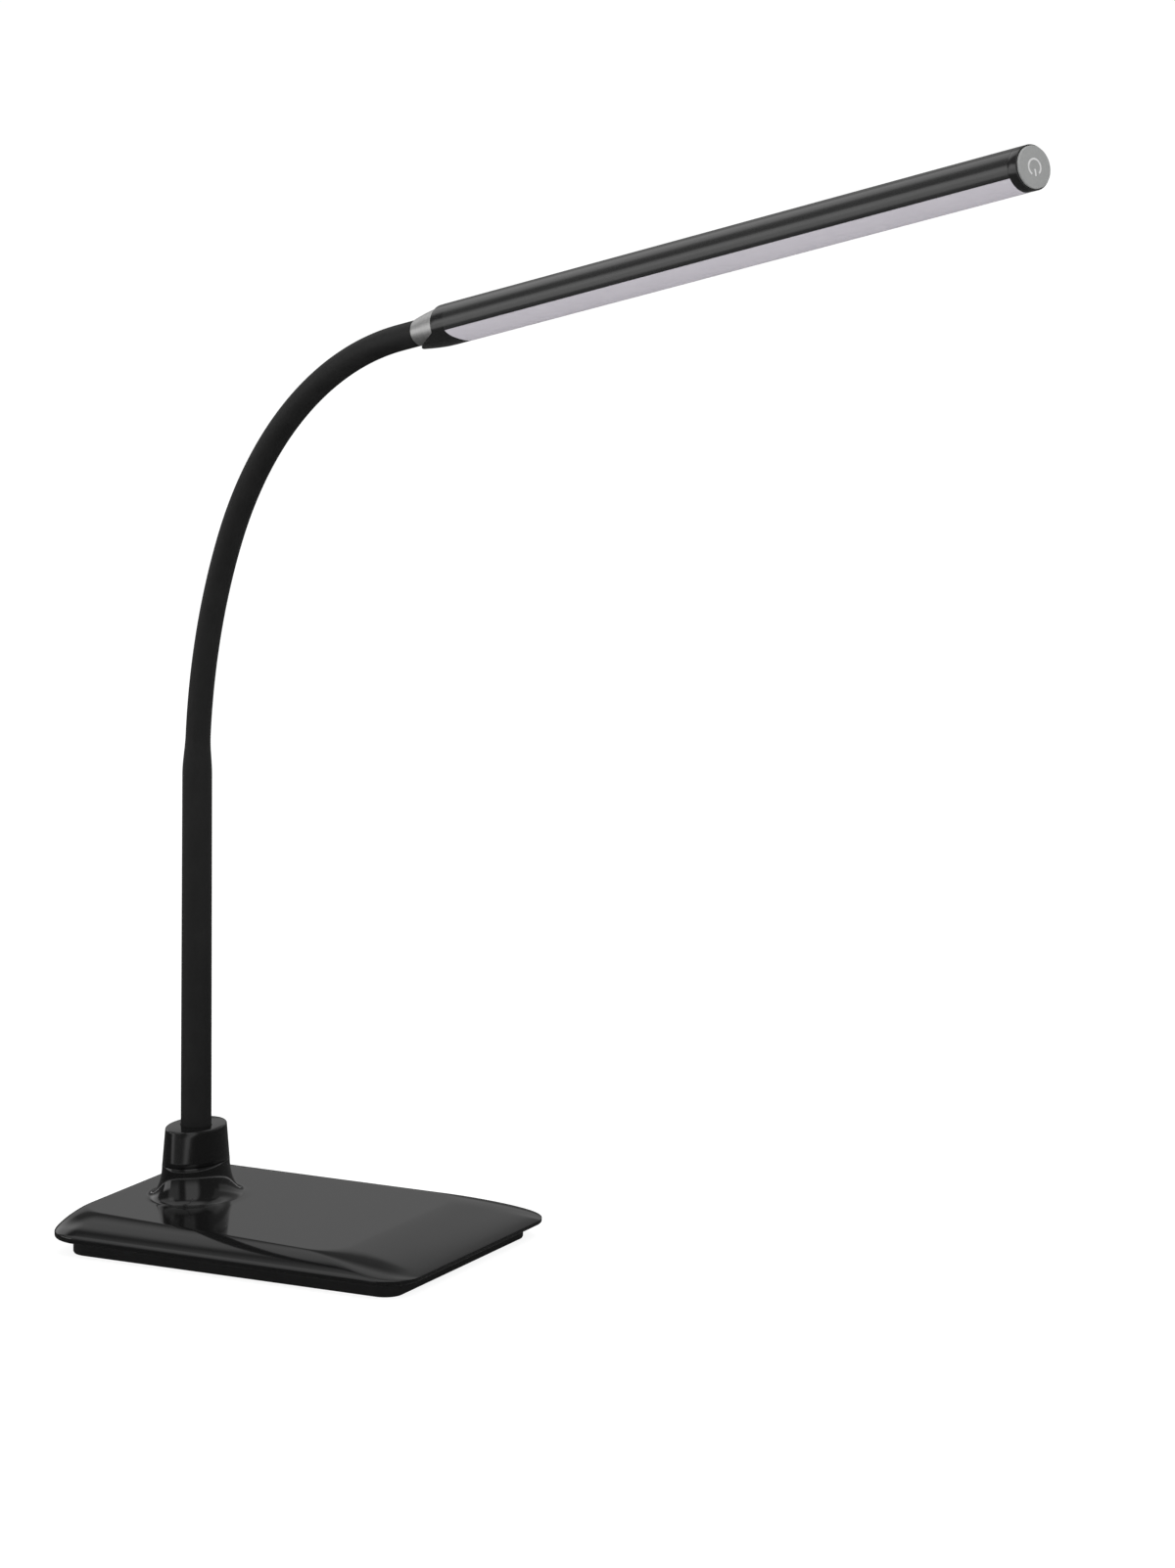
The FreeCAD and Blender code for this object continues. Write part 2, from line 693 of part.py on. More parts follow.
def rear_cap():
    """Black cap behind the diffuser, open round the ferrule but for a chin that runs under it."""
    steps = 6
    outer = []
    for i in range(steps + 1):
        share = i / steps
        along = cap_chin_start + (cap_full_at - cap_chin_start) * share
        growth = math.sin(math.pi / 2 * share)
        outer.append((along, cap_chin_radius + (head_radius - cap_chin_radius) * growth))
    outer.append((cap_end, head_radius))
    cap = spun(outer + [(cap_end, 0), (cap_chin_start, 0)])
    inner = ferrule_profile(cap_chin_start, ferrule_end, seat_gap)
    bore = ferrule_front_radius + seat_gap
    hollow = spun(inner + [(ferrule_end + spigot_flange + seat_gap, bore),
                           (ferrule_end + spigot_flange + seat_gap, 0), (cap_chin_start, 0)])
    cap = cap.cut(hollow).cut(head_rod(core_bore, 0, head_length))
    side = 2 * head_radius
    mouth = [V(0, -side, side), V(cap_brow_start, -side, side), V(cap_brow_start, -side, -cap_chin_top),
             V(cap_chin_start, -side, -head_radius), V(0, -side, -head_radius)]
    cap = cap.cut(Part.Face(Part.makePolygon(mouth + mouth[:1])).extrude(V(0, 2 * side, 0)))
    for hole in screw_holes(0, head_length, head_screw_radius + seat_gap / 2):
        cap = cap.cut(hole)
    for hole in screw_holes(0, rear_seat, head_screw_head_radius + seat_gap):
        cap = cap.cut(hole)
    save("rear_cap", place_head(solid_of(cap)))


def head_housing():
    top = section_of(cap_end, profile_end, head_radius, inner_radius, -diffuser_edge, 180 + diffuser_edge)
    inside = head_rod(inner_radius + housing_wall / 2, cap_end, profile_end)
    web = box(cap_end, profile_end, -head_radius, head_radius, web_height, web_height + web_thickness)
    body = top.fuse(web.common(inside))
    for channel in screw_holes(cap_end, profile_end, screw_channel_radius):
        body = body.fuse(channel.common(inside))
    for hole in screw_holes(cap_end, profile_end, head_screw_radius + seat_gap / 2):
        body = body.cut(hole)
    save("head_housing", place_head(solid_of(body)))


def diffuser():
    low = -180 + diffuser_edge + math.degrees(seat_gap / head_radius)
    body = section_of(cap_end, profile_end, head_radius, head_radius - diffuser_wall, low, -180 - low)
    lip_outer = inner_radius - seat_gap
    lip_inner = lip_outer - diffuser_wall / 2
    rise = math.degrees(snap_height / lip_outer)
    for side in (0, 1):
        start = -diffuser_edge - rise / 2
        lip = section_of(cap_end, profile_end, lip_outer, lip_inner, start, start + 1.5 * rise)
        foot_outer = head_radius - diffuser_wall / 2
        foot = section_of(cap_end, profile_end, foot_outer, lip_inner, start - rise, start + rise / 4)
        piece = lip.fuse(foot)
        if side:
            piece = piece.mirror(V(0, 0, 0), V(0, 1, 0))
        body = body.fuse(piece)
    save("diffuser", place_head(solid_of(body)))


def leds():
    start = cap_end + board_end_gap
    end = profile_end - board_end_gap
    top = web_height
    bottom = top - board_thickness
    save("led_board", place_head(box(start, end, -board_width / 2, board_width / 2, bottom, top)))
    chips = []
    pitch = (end - start) / chip_count
    for i in range(chip_count):
        x = start + pitch * (i + 0.5)
        chips.append(place_head(box(x - chip_length / 2, x + chip_length / 2, -chip_width / 2, chip_width / 2,
                                    bottom - chip_height, bottom)))
    save("led_chips", *chips)
    wires = []
    for side in (-1, 1):
        wire = head_rod(wire_radius, ferrule_start, start + chip_length / 2)
        wire.translate(V(0, side * wire_pitch / 2, bottom - wire_radius - seat_gap / 2))
        wires.append(place_head(wire))
    save("head_wires", *wires)


def tip():
    ring = head_rod(head_radius, profile_end, tube_end)
    pocket_end = profile_end + tip_web
    ring = ring.cut(head_rod(touch_spigot + seat_gap, pocket_end, tube_end))
    electrode_start = tube_end - seat_gap - electrode_thickness
    board_start = electrode_start - touch_board_thickness
    ring = ring.fuse(head_rod(board_seat_radius, pocket_end, board_start))
    ring = ring.cut(head_rod(core_bore, profile_end, tube_end))
    for hole in screw_holes(profile_end, tube_end, head_screw_radius + seat_gap / 2):
        ring = ring.cut(hole)
    for hole in screw_holes(pocket_end, tube_end, head_screw_head_radius + seat_gap):
        ring = ring.cut(hole)
    save("tip_ring", place_head(solid_of(ring)))
    spigot_start = tube_end - touch_spigot_length
    cap = head_rod(touch_radius, tube_end, head_length)
    cap = cap.fuse(head_rod(touch_spigot, spigot_start, tube_end))
    cap = cap.cut(head_rod(touch_spigot - housing_wall, spigot_start, tube_end))
    face = head_length - symbol_depth
    save("touch_cap", place_head(solid_of(cap.cut(symbol(face, head_length, seat_gap / 2)))))
    save("touch_symbol", place_head(symbol(face, head_length, 0)))
    save("touch_electrode", place_head(head_rod(electrode_radius, electrode_start, tube_end - seat_gap)))
    save("touch_board", place_head(head_rod(touch_board_radius, board_start, electrode_start)))


def symbol(start, end, grow):
    """The ring and bar of a power symbol, one inlay: the bar meets the ring through its gap."""
    outer = symbol_radius + symbol_width / 2 + grow
    inner = symbol_radius - symbol_width / 2 - grow
    gap = symbol_opening - math.degrees(grow / symbol_radius)
    ring = section_of(start, end, outer, inner, -90 + gap, 270 - gap)
    half = symbol_width / 2 + grow
    bar = box(start, end, -half, half, -outer, -symbol_radius / 4 + grow)
    return Part.makeCompound([ring, bar])


def end_screws():
    """Small screws that run through the end pieces into the housing's channels."""
    tip_seat = profile_end + tip_web
    rods = screw_holes(tip_seat - head_screw_length, tip_seat, head_screw_radius)
    heads = screw_holes(tip_seat, tip_seat + head_screw_head_height, head_screw_head_radius)
    save("tip_screws", *[place_head(rod.fuse(head)) for rod, head in zip(rods, heads)])
    rods = screw_holes(rear_seat, cap_end + head_screw_length, head_screw_radius)
    heads = screw_holes(rear_seat - head_screw_head_height, rear_seat, head_screw_head_radius)
    save("rear_screws", *[place_head(rod.fuse(head)) for rod, head in zip(rods, heads)])


base_shell()
collar_cap()
base_plinth()
base_mat()
base_screws()
ballast()
inlet_jack()
driver()
base_wires()
stem()
neck()
spigot_and_ferrule()
rear_cap()
head_housing()
diffuser()
leds()
tip()
end_screws()
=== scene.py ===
import json
import math

import bmesh
import bpy
from mathutils import Matrix, Vector


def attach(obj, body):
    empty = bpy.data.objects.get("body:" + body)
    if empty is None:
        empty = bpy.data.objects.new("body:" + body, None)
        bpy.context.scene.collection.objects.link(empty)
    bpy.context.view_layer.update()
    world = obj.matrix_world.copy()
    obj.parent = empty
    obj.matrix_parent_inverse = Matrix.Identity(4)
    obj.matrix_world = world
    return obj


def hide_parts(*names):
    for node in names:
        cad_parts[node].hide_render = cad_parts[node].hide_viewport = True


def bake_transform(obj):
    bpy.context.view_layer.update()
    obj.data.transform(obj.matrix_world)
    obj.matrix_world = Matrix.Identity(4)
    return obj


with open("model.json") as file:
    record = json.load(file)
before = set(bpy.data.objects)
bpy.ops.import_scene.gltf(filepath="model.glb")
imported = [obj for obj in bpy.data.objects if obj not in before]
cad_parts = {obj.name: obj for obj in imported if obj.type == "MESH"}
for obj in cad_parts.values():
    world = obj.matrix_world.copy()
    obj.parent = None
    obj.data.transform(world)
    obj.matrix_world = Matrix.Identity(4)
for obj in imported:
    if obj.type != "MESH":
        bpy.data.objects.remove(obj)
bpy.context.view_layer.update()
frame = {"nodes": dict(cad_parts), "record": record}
scene = bpy.context.scene
mm = 0.001
print("frame loaded:", len(frame["nodes"]), "nodes")


# Shader maths: a link is a socket that can be added, scaled and so on
class Link:
    def __init__(self, graph, socket):
        self.graph = graph
        self.socket = socket

    def __add__(self, other):
        return self.graph.maths("ADD", self, other)

    def __sub__(self, other):
        return self.graph.maths("SUBTRACT", self, other)

    def __rsub__(self, other):
        return self.graph.maths("SUBTRACT", other, self)

    def __mul__(self, other):
        return self.graph.maths("MULTIPLY", self, other)

    __radd__ = __add__
    __rmul__ = __mul__


class Graph:
    def __init__(self, tree):
        self.tree = tree

    def feed(self, socket, value):
        if isinstance(value, Link):
            self.tree.links.new(value.socket, socket)
        else:
            socket.default_value = value

    def put(self, kind, settings=None, inputs=None):
        node = self.tree.nodes.new(kind)
        for key, value in (settings or {}).items():
            if key == "stops":
                self.setStops(node.color_ramp, value)
            else:
                setattr(node, key, value)
        for key, value in (inputs or {}).items():
            self.feed(node.inputs[key], value)
        return node

    def out(self, kind, settings=None, inputs=None, output=0):
        return Link(self, self.put(kind, settings, inputs).outputs[output])

    def setStops(self, ramp, stops):
        while len(ramp.elements) < len(stops):
            ramp.elements.new(0.5)
        for element, (place, grey) in zip(ramp.elements, stops):
            element.position = place
            element.color = (grey, grey, grey, 1)

    def maths(self, operation, first, second=0.0):
        return self.out("ShaderNodeMath", {"operation": operation}, {0: first, 1: second})

    def smooth(self, value, low, high):  # 0 below low, 1 above high
        limits = {"Value": value, "From Min": low, "From Max": high}
        return self.out("ShaderNodeMapRange", {"interpolation_type": "SMOOTHSTEP"}, limits)

    def blend(self, share, first, second):  # two colours
        settings = {"data_type": "RGBA"}
        node = self.put("ShaderNodeMix", settings, {0: share})
        self.feed(node.inputs[6], first)
        self.feed(node.inputs[7], second)
        return Link(self, node.outputs[2])

    def noise(self, vector, scale, detail=2.0, rough=0.5):
        sizes = {"Vector": vector, "Scale": scale, "Detail": detail, "Roughness": rough}
        return self.out("ShaderNodeTexNoise", None, sizes)

    def stretched(self, vector, x, y, z):
        return self.out("ShaderNodeMapping", None, {"Vector": vector, "Scale": (x, y, z)})

    def bump(self, height, strength, distance):
        sizes = {"Height": height, "Strength": strength, "Distance": distance}
        return self.out("ShaderNodeBump", None, sizes)


def grey(level, tint=(1.0, 1.0, 1.0)):
    return (level * tint[0], level * tint[1], level * tint[2], 1.0)


def material(name, paint, fixed):
    # paint(graph, place) gives the principled sockets that vary, fixed gives those that don't
    made = bpy.data.materials.new(name)
    made.use_nodes = True
    graph = Graph(made.node_tree)
    shader = made.node_tree.nodes["Principled BSDF"]
    for key, value in fixed.items():
        shader.inputs[key].default_value = value
    place = graph.out("ShaderNodeTexCoord", None, None, "Object")
    for key, value in paint(graph, place).items():
        graph.feed(shader.inputs[key], value)
    return made


# Mesh making
def addPiece(name, mesh, finish, body, replaced=()):
    piece = bpy.data.objects.new(name, mesh)
    scene.collection.objects.link(piece)
    mesh.materials.clear()
    mesh.materials.append(finish)
    if replaced:
        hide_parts(*replaced)
    if body:
        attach(piece, body)
    return piece


def tidyMesh(mesh, sharpAngle=35.0):
    # merges doubles, turns faces outwards and marks the edges that stay crisp
    work = bmesh.new()
    work.from_mesh(mesh)
    bmesh.ops.remove_doubles(work, verts=work.verts, dist=1e-7)
    bmesh.ops.recalc_face_normals(work, faces=work.faces)
    for face in work.faces:
        face.smooth = True
    for edge in work.edges:
        edge.smooth = edge.calc_face_angle(0.0) < math.radians(sharpAngle)
    work.to_mesh(mesh)
    work.free()
    return mesh


def ringsMesh(name, rings, looped=False, sharpAngle=35.0):
    # quads between rings of equal count; looped joins the last ring to the first, else both ends close
    count = len(rings[0])
    points = [point for ring in rings for point in ring]
    faces = []
    rows = len(rings)
    for row in range(rows if looped else rows - 1):
        here = row * count
        after = (row + 1) % rows * count
        for i in range(count):
            j = (i + 1) % count
            faces.append((here + i, here + j, after + j, after + i))
    if not looped:
        faces.append(tuple(range(count)))
        faces.append(tuple(range((rows - 1) * count, rows * count)))
    mesh = bpy.data.meshes.new(name)
    mesh.from_pydata(points, [], faces)
    return tidyMesh(mesh, sharpAngle)


def profileMesh(name, outlines, length, sharpAngle=35.0):
    # flat outlines in YZ, the first outside and the others holes, extruded along +X by length
    curve = bpy.data.curves.new(name, "CURVE")
    curve.dimensions = "2D"
    curve.fill_mode = "BOTH"
    curve.extrude = length / 2
    for outline in outlines:
        spline = curve.splines.new("POLY")
        spline.points.add(len(outline) - 1)
        for point, (y, z) in zip(spline.points, outline):
            point.co = (y, z, 0, 1)
        spline.use_cyclic_u = True
    holder = bpy.data.objects.new(name + "Curve", curve)
    scene.collection.objects.link(holder)
    bpy.context.view_layer.update()
    mesh = bpy.data.meshes.new_from_object(holder.evaluated_get(bpy.context.evaluated_depsgraph_get()))
    bpy.data.objects.remove(holder)
    toHead = Matrix(((0, 0, 1, length / 2), (1, 0, 0, 0), (0, 1, 0, 0), (0, 0, 0, 1)))
    mesh.transform(toHead)
    return tidyMesh(mesh, sharpAngle)


def cutMesh(mesh, cutters):
    # takes the cutters' meshes out of a mesh
    holder = bpy.data.objects.new("cutHolder", mesh)
    scene.collection.objects.link(holder)
    spare = [holder]
    for cutter in cutters:
        knife = bpy.data.objects.new("knife", cutter)
        scene.collection.objects.link(knife)
        knife.hide_render = True
        change = holder.modifiers.new("cut", "BOOLEAN")
        change.operation = "DIFFERENCE"
        change.solver = "EXACT"
        change.object = knife
        spare.append(knife)
    bpy.context.view_layer.update()
    made = bpy.data.meshes.new_from_object(holder.evaluated_get(bpy.context.evaluated_depsgraph_get()))
    for item in spare:
        bpy.data.objects.remove(item)
    return tidyMesh(made)


def circleRing(radius, along, count=72):
    # a ring about the X axis
    turn = 2 * math.pi / count
    return [Vector((along, radius * math.cos(turn * i), radius * math.sin(turn * i))) for i in range(count)]


def filletRings(radius, along, size, outward, steps=4, count=72):
    # rings that round the edge between a flat end at along and a wall of the radius
    rings = []
    for step in range(steps + 1):
        angle = math.pi / 2 * step / steps
        inset = size * (1 - math.sin(angle))
        back = size * (1 - math.cos(angle))
        rings.append(circleRing(radius - inset, along - outward * back, count))
    return rings


# Neck's course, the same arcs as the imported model
neck = {
    "armTurn": 23.0,        # degrees from +X towards -Y
    "stemTop": 219.0 * mm,
    "rootLength": 22.0 * mm,
    "lowRadius": 281.0 * mm,
    "lowLink": 23.7 * mm,
    "lowLinks": 4,
    "highRadius": 187.3 * mm,
    "highLink": 24.0 * mm,
    "highLinks": 7,
    "stemRadiusLow": 7.3 * mm,
    "stemRadiusHigh": 7.0 * mm,
    "radius": 5.9 * mm,
    "taper": 19.0 * mm,
    "ferruleSeat": 16.6 * mm,
    "overlap": 11.0 * mm,   # how far before the first pivot the stem's piece ends
    "segments": 56,
    "step": 1.5 * mm,
}
lowEnd = neck["rootLength"] + neck["lowLinks"] * neck["lowLink"]
neckEnd = lowEnd + neck["highLinks"] * neck["highLink"]
armMatrix = Matrix.Rotation(math.radians(-neck["armTurn"]), 4, "Z")


def neckPlace(s):
    # point and direction, s along the neck from the stem's top; straight below and past its ends
    inside = min(max(s, 0.0), neckEnd)
    low = min(inside, lowEnd) / neck["lowRadius"]
    x = neck["lowRadius"] * (1 - math.cos(low))
    z = neck["stemTop"] + neck["lowRadius"] * math.sin(low)
    angle = low
    if inside > lowEnd:
        angle = low + (inside - lowEnd) / neck["highRadius"]
        x += neck["highRadius"] * (math.cos(low) - math.cos(angle))
        z += neck["highRadius"] * (math.sin(angle) - math.sin(low))
    heading = Vector((math.sin(angle), 0, math.cos(angle)))
    return armMatrix @ (Vector((x, 0, z)) + heading * (s - inside)), angle


headAngle = neckPlace(neckEnd)[1]
headMatrix = Matrix.Translation(neckPlace(neckEnd)[0]) @ armMatrix
headMatrix = headMatrix @ Matrix.Rotation(headAngle - math.pi / 2, 4, "Y")
headInverse = headMatrix.inverted()


def headPlace(graph, place):
    # Object coordinates turned into the head's own, with x along it
    turn = {"Vector": place, "Location": headInverse.to_translation(), "Rotation": headInverse.to_euler()}
    return graph.out("ShaderNodeMapping", None, turn)


# Finishes that show
def glossPaint(tone, shine, wave):
    def paint(graph, place):
        dust = graph.smooth(graph.noise(place, 2600.0, 3.0, 0.7), 0.62, 0.74)
        haze = graph.noise(place, 38.0, 3.0, 0.6)
        rub = graph.smooth(graph.noise(graph.stretched(place, 40.0, 900.0, 300.0), 1.0, 2.0), 0.6, 0.75)
        colour = graph.blend(dust * 0.35, grey(tone), grey(tone * 3.2, (1.0, 0.99, 0.97)))
        peel = graph.noise(place, 210.0, 1.0, 0.4)
        return {
            "Base Color": colour,
            "Roughness": shine + dust * 0.16 + haze * 0.05 + rub * 0.03,
            "Normal": graph.bump(peel, wave, 0.02 * mm),
        }
    return paint


def rubberPaint(graph, place):
    grain = graph.noise(place, 5200.0, 2.0, 0.6)
    bloom = graph.smooth(graph.noise(place, 60.0, 4.0, 0.65), 0.35, 0.8)
    colour = graph.blend(bloom, grey(0.0062), grey(0.0092, (1.0, 0.995, 0.98)))
    return {
        "Base Color": colour,
        "Roughness": 0.60 + bloom * 0.12 + grain * 0.08,
        "Normal": graph.bump(grain, 0.35, 0.03 * mm),
    }


def housingPaint(graph, place):
    own = headPlace(graph, place)
    lines = graph.noise(graph.stretched(own, 14.0, 2600.0, 2600.0), 1.0, 3.0, 0.6)
    haze = graph.noise(place, 45.0, 3.0, 0.6)
    return {
        "Base Color": graph.blend(lines, grey(0.016), grey(0.024)),
        "Roughness": 0.13 + lines * 0.08 + haze * 0.06,
        "Normal": graph.bump(lines, 0.12, 0.01 * mm),
    }


def silverPaint(graph, place):
    own = headPlace(graph, place)
    turned = graph.noise(graph.stretched(own, 9000.0, 60.0, 60.0), 1.0, 3.0, 0.65)
    haze = graph.noise(place, 120.0, 3.0, 0.6)
    lines = graph.smooth(turned, 0.35, 0.65)
    return {
        "Base Color": graph.blend(lines, grey(0.48), grey(0.62, (1.0, 0.995, 0.985))),
        "Roughness": 0.36 + turned * 0.12 + haze * 0.06,
        "Normal": graph.bump(turned, 0.4, 0.02 * mm),
    }


def opalPaint(graph, place):
    cloud = graph.noise(place, 70.0, 3.0, 0.6)
    grain = graph.noise(place, 3200.0, 2.0, 0.6)
    return {
        "Base Color": graph.blend(cloud, grey(0.50, (1.0, 0.955, 1.05)), grey(0.55, (1.0, 0.955, 1.03))),
        "Roughness": 0.32 + grain * 0.12,
        "Normal": graph.bump(grain, 0.15, 0.01 * mm),
    }


def touchPaint(graph, place):
    own = headPlace(graph, place)
    turned = graph.noise(graph.stretched(own, 300.0, 1400.0, 1400.0), 1.0, 3.0, 0.6)
    return {
        "Base Color": graph.blend(turned, grey(0.21, (0.985, 1.0, 0.99)), grey(0.26, (0.985, 1.0, 0.99))),
        "Roughness": 0.36 + turned * 0.14,
        "Normal": graph.bump(turned, 0.2, 0.01 * mm),
    }


def inlayPaint(graph, place):
    cloud = graph.noise(place, 900.0, 2.0)
    return {
        "Base Color": graph.blend(cloud, grey(0.44), grey(0.52)),
        "Roughness": 0.3 + cloud * 0.1,
    }


def moulded(tone, roughness, scale):
    def paint(graph, place):
        grain = graph.noise(place, scale, 3.0, 0.6)
        cloud = graph.noise(place, 55.0, 3.0)
        return {
            "Base Color": graph.blend(cloud, grey(tone * 0.85), grey(tone * 1.2)),
            "Roughness": roughness + grain * 0.12,
            "Normal": graph.bump(grain, 0.3, 0.03 * mm),
        }
    return paint


def foamPaint(graph, place):
    cells = graph.out("ShaderNodeTexVoronoi", None, {"Vector": place, "Scale": 900.0}, "Distance")
    cloud = graph.noise(place, 70.0, 3.0)
    return {
        "Base Color": graph.blend(cells, grey(0.011), grey(0.026)),
        "Roughness": 0.82 + cloud * 0.12,
        "Normal": graph.bump(cells, 0.6, 0.15 * mm),
    }


def metalPaint(dark, light, rough, scale):
    def paint(graph, place):
        lines = graph.noise(graph.stretched(place, scale, scale, scale * 0.05), 1.0, 3.0, 0.6)
        cloud = graph.noise(place, 90.0, 3.0)
        return {
            "Base Color": graph.blend(lines, dark, light),
            "Roughness": rough + lines * 0.12 + cloud * 0.08,
            "Normal": graph.bump(lines, 0.2, 0.01 * mm),
        }
    return paint


def tintedPaint(dark, light, rough, scale):
    def paint(graph, place):
        cloud = graph.noise(place, scale, 3.0, 0.6)
        return {
            "Base Color": graph.blend(graph.smooth(cloud, 0.35, 0.65), dark, light),
            "Roughness": rough + cloud * 0.15,
            "Normal": graph.bump(cloud, 0.15, 0.02 * mm),
        }
    return paint


finishes = {
    "gloss_black": material("glossBlack", glossPaint(0.0052, 0.055, 0.06), {"IOR": 1.5}),
    "gloss_black_head": material("capBlack", glossPaint(0.012, 0.14, 0.08), {"IOR": 1.5}),
    "housing_black": material("housingBlack", housingPaint, {"IOR": 1.5}),
    "plinth_black": material("plinthBlack", moulded(0.010, 0.52, 2400.0), {}),
    "foam_mat": material("foamMat", foamPaint, {}),
    "ballast_iron": material("ballastIron", metalPaint(grey(0.16), grey(0.26), 0.5, 500.0),
                             {"Metallic": 1.0}),
    "sleeve_rubber": material("sleeveRubber", rubberPaint, {"IOR": 1.42}),
    "bare_steel": material("bareSteel", metalPaint(grey(0.45), grey(0.6), 0.25, 2000.0), {"Metallic": 1.0}),
    "screw_steel": material("screwSteel", metalPaint(grey(0.5), grey(0.65), 0.25, 2500.0), {"Metallic": 1.0}),
    "ferrule_silver": material("ferruleSilver", silverPaint, {"Metallic": 0.96}),
    "diffuser_opal": material("diffuserOpal", opalPaint, {"IOR": 1.45}),
    "led_board": material("ledBoard", tintedPaint(grey(0.7), grey(0.8), 0.4, 200.0), {}),
    "led_chips": material("ledChips", tintedPaint((0.8, 0.7, 0.3, 1), (0.9, 0.85, 0.5, 1), 0.3, 900.0), {}),
    "touch_grey": material("touchGrey", touchPaint, {}),
    "symbol_light": material("symbolLight", inlayPaint, {}),
    "circuit_board": material("circuitBoard",
                              tintedPaint((0.01, 0.09, 0.03, 1), (0.02, 0.16, 0.06, 1), 0.35, 400.0), {}),
    "component_black": material("componentBlack", moulded(0.03, 0.45, 1500.0), {}),
    "contact_brass": material("contactBrass",
                              metalPaint((0.5, 0.35, 0.12, 1), (0.75, 0.6, 0.3, 1), 0.25, 1800.0),
                              {"Metallic": 1.0}),
    "wire_jacket": material("wireJacket",
                            tintedPaint((0.2, 0.01, 0.01, 1), (0.3, 0.02, 0.02, 1), 0.5, 900.0), {}),
}
for part in frame["record"]["subparts"]:
    node = frame["nodes"][part["node"]]
    node.data.materials.clear()
    node.data.materials.append(finishes[part["material_slot"]])
print("finishes made:", len(finishes))


# Base shell, collar and plinth
base = {
    "length": 190.0 * mm,
    "width": 156.0 * mm,
    "stemToRear": 39.0 * mm,
    "corner": 18.0 * mm,
    "cornerSteps": 14,
    "sideSteps": 26,
    "rimBottom": 7.4 * mm,
    "rimNose": 8.6 * mm,
    "rimTop": 10.2 * mm,
    "rimRound": 1.3 * mm,
    "top": 17.85 * mm,          # at the stem's axis
    "topTilt": 0.85,            # degrees the flat top falls towards the front
    "crestRear": 6.0 * mm,      # rim to the flat top at each edge
    "crestFront": 42.0 * mm,
    "crestSideRear": 23.0 * mm,
    "crestSideFront": 14.0 * mm,
    "crestCorner": 16.0 * mm,
    "crestPower": 1.35,
    "crestSteps": 22,
    "footTop": 34.25 * mm,
    "footX": 13.5 * mm,
    "footY": 22.0 * mm,
    "flareX": 8.5 * mm,
    "flareY": 6.5 * mm,
    "flareSteps": 12,
    "bore": 6.1 * mm,
    "seamRound": 0.25 * mm,
    "innerInset": 8.5 * mm,
    "innerCorner": 9.5 * mm,
    "innerTop": 15.4 * mm,
    "innerStep": 1.6 * mm,      # straight wall above the rim before the inside slopes
    "ceilingRear": 3 * mm,      # the inside's ceiling, past its walls at the rear
    "ceilingFront": 46 * mm,    # and in from the base's own edges elsewhere
    "ceilingSideRear": 30 * mm,
    "ceilingSideFront": 24 * mm,
}
jack = {
    "front": -36.1 * mm,
    "rear": -24.9 * mm,
    "half": 3.7 * mm,
    "height": 10.6 * mm,
    "below": 5 * mm,            # how far the pocket runs on below the jack's axis
    "mouth": 3.0 * mm,
    "mouthStart": -45 * mm,
    "mouthEnd": -27 * mm,
}


def outlineRing(rearInset, frontInset, sideRear, sideFront, radius, z):
    # a rounded outline of the base, each edge inset by its own amount, counter-clockwise
    rear = -base["stemToRear"] + rearInset
    front = base["length"] - base["stemToRear"] - frontInset
    back = base["width"] / 2 - sideRear
    fore = base["width"] / 2 - sideFront
    corners = [Vector((rear, -back)), Vector((front, -fore)), Vector((front, fore)), Vector((rear, back))]
    arcs = []
    for i, corner in enumerate(corners):
        before = (corners[i - 1] - corner).normalized()
        after = (corners[(i + 1) % 4] - corner).normalized()
        half = before.angle(after) / 2
        middle = (before + after).normalized()
        centre = corner + middle * (radius / math.sin(half))
        first = corner + before * (radius / math.tan(half)) - centre
        sweep = math.pi - 2 * half
        arc = []
        for step in range(base["cornerSteps"] + 1):
            turn = sweep * step / base["cornerSteps"]
            arc.append(centre + Matrix.Rotation(turn, 2) @ first)
        arcs.append(arc)
    points = []
    for i in range(4):
        points += arcs[i]
        start = arcs[i][-1]
        end = arcs[(i + 1) % 4][0]
        points += [start.lerp(end, step / base["sideSteps"]) for step in range(1, base["sideSteps"])]
    return [Vector((point.x, point.y, z)) for point in points]


def insetRing(inset, radius, z):
    return outlineRing(inset, inset, inset, inset, radius, z)


def lean(ring, share):
    # tips a ring about the stem's axis so that its front lies lower, by a share of the top's tilt
    turn = Matrix.Rotation(math.radians(base["topTilt"] * share), 3, "Y")
    level = Vector((0, 0, ring[0].z))
    return [turn @ (point - level) + level for point in ring]


def leanShare(z):
    return (z - base["rimBottom"]) / (base["top"] - base["rimBottom"])


crest = outlineRing(base["crestRear"], base["crestFront"], base["crestSideRear"], base["crestSideFront"],
                    base["crestCorner"], base["top"])
bearings = [math.atan2(point.y, point.x) for point in crest]


def ovalRing(halfX, halfY, z):
    # an oval whose points lie on the bearings of the crest's points
    ring = []
    for bearing in bearings:
        reach = 1 / math.hypot(math.cos(bearing) / halfX, math.sin(bearing) / halfY)
        ring.append(Vector((reach * math.cos(bearing), reach * math.sin(bearing), z)))
    return ring


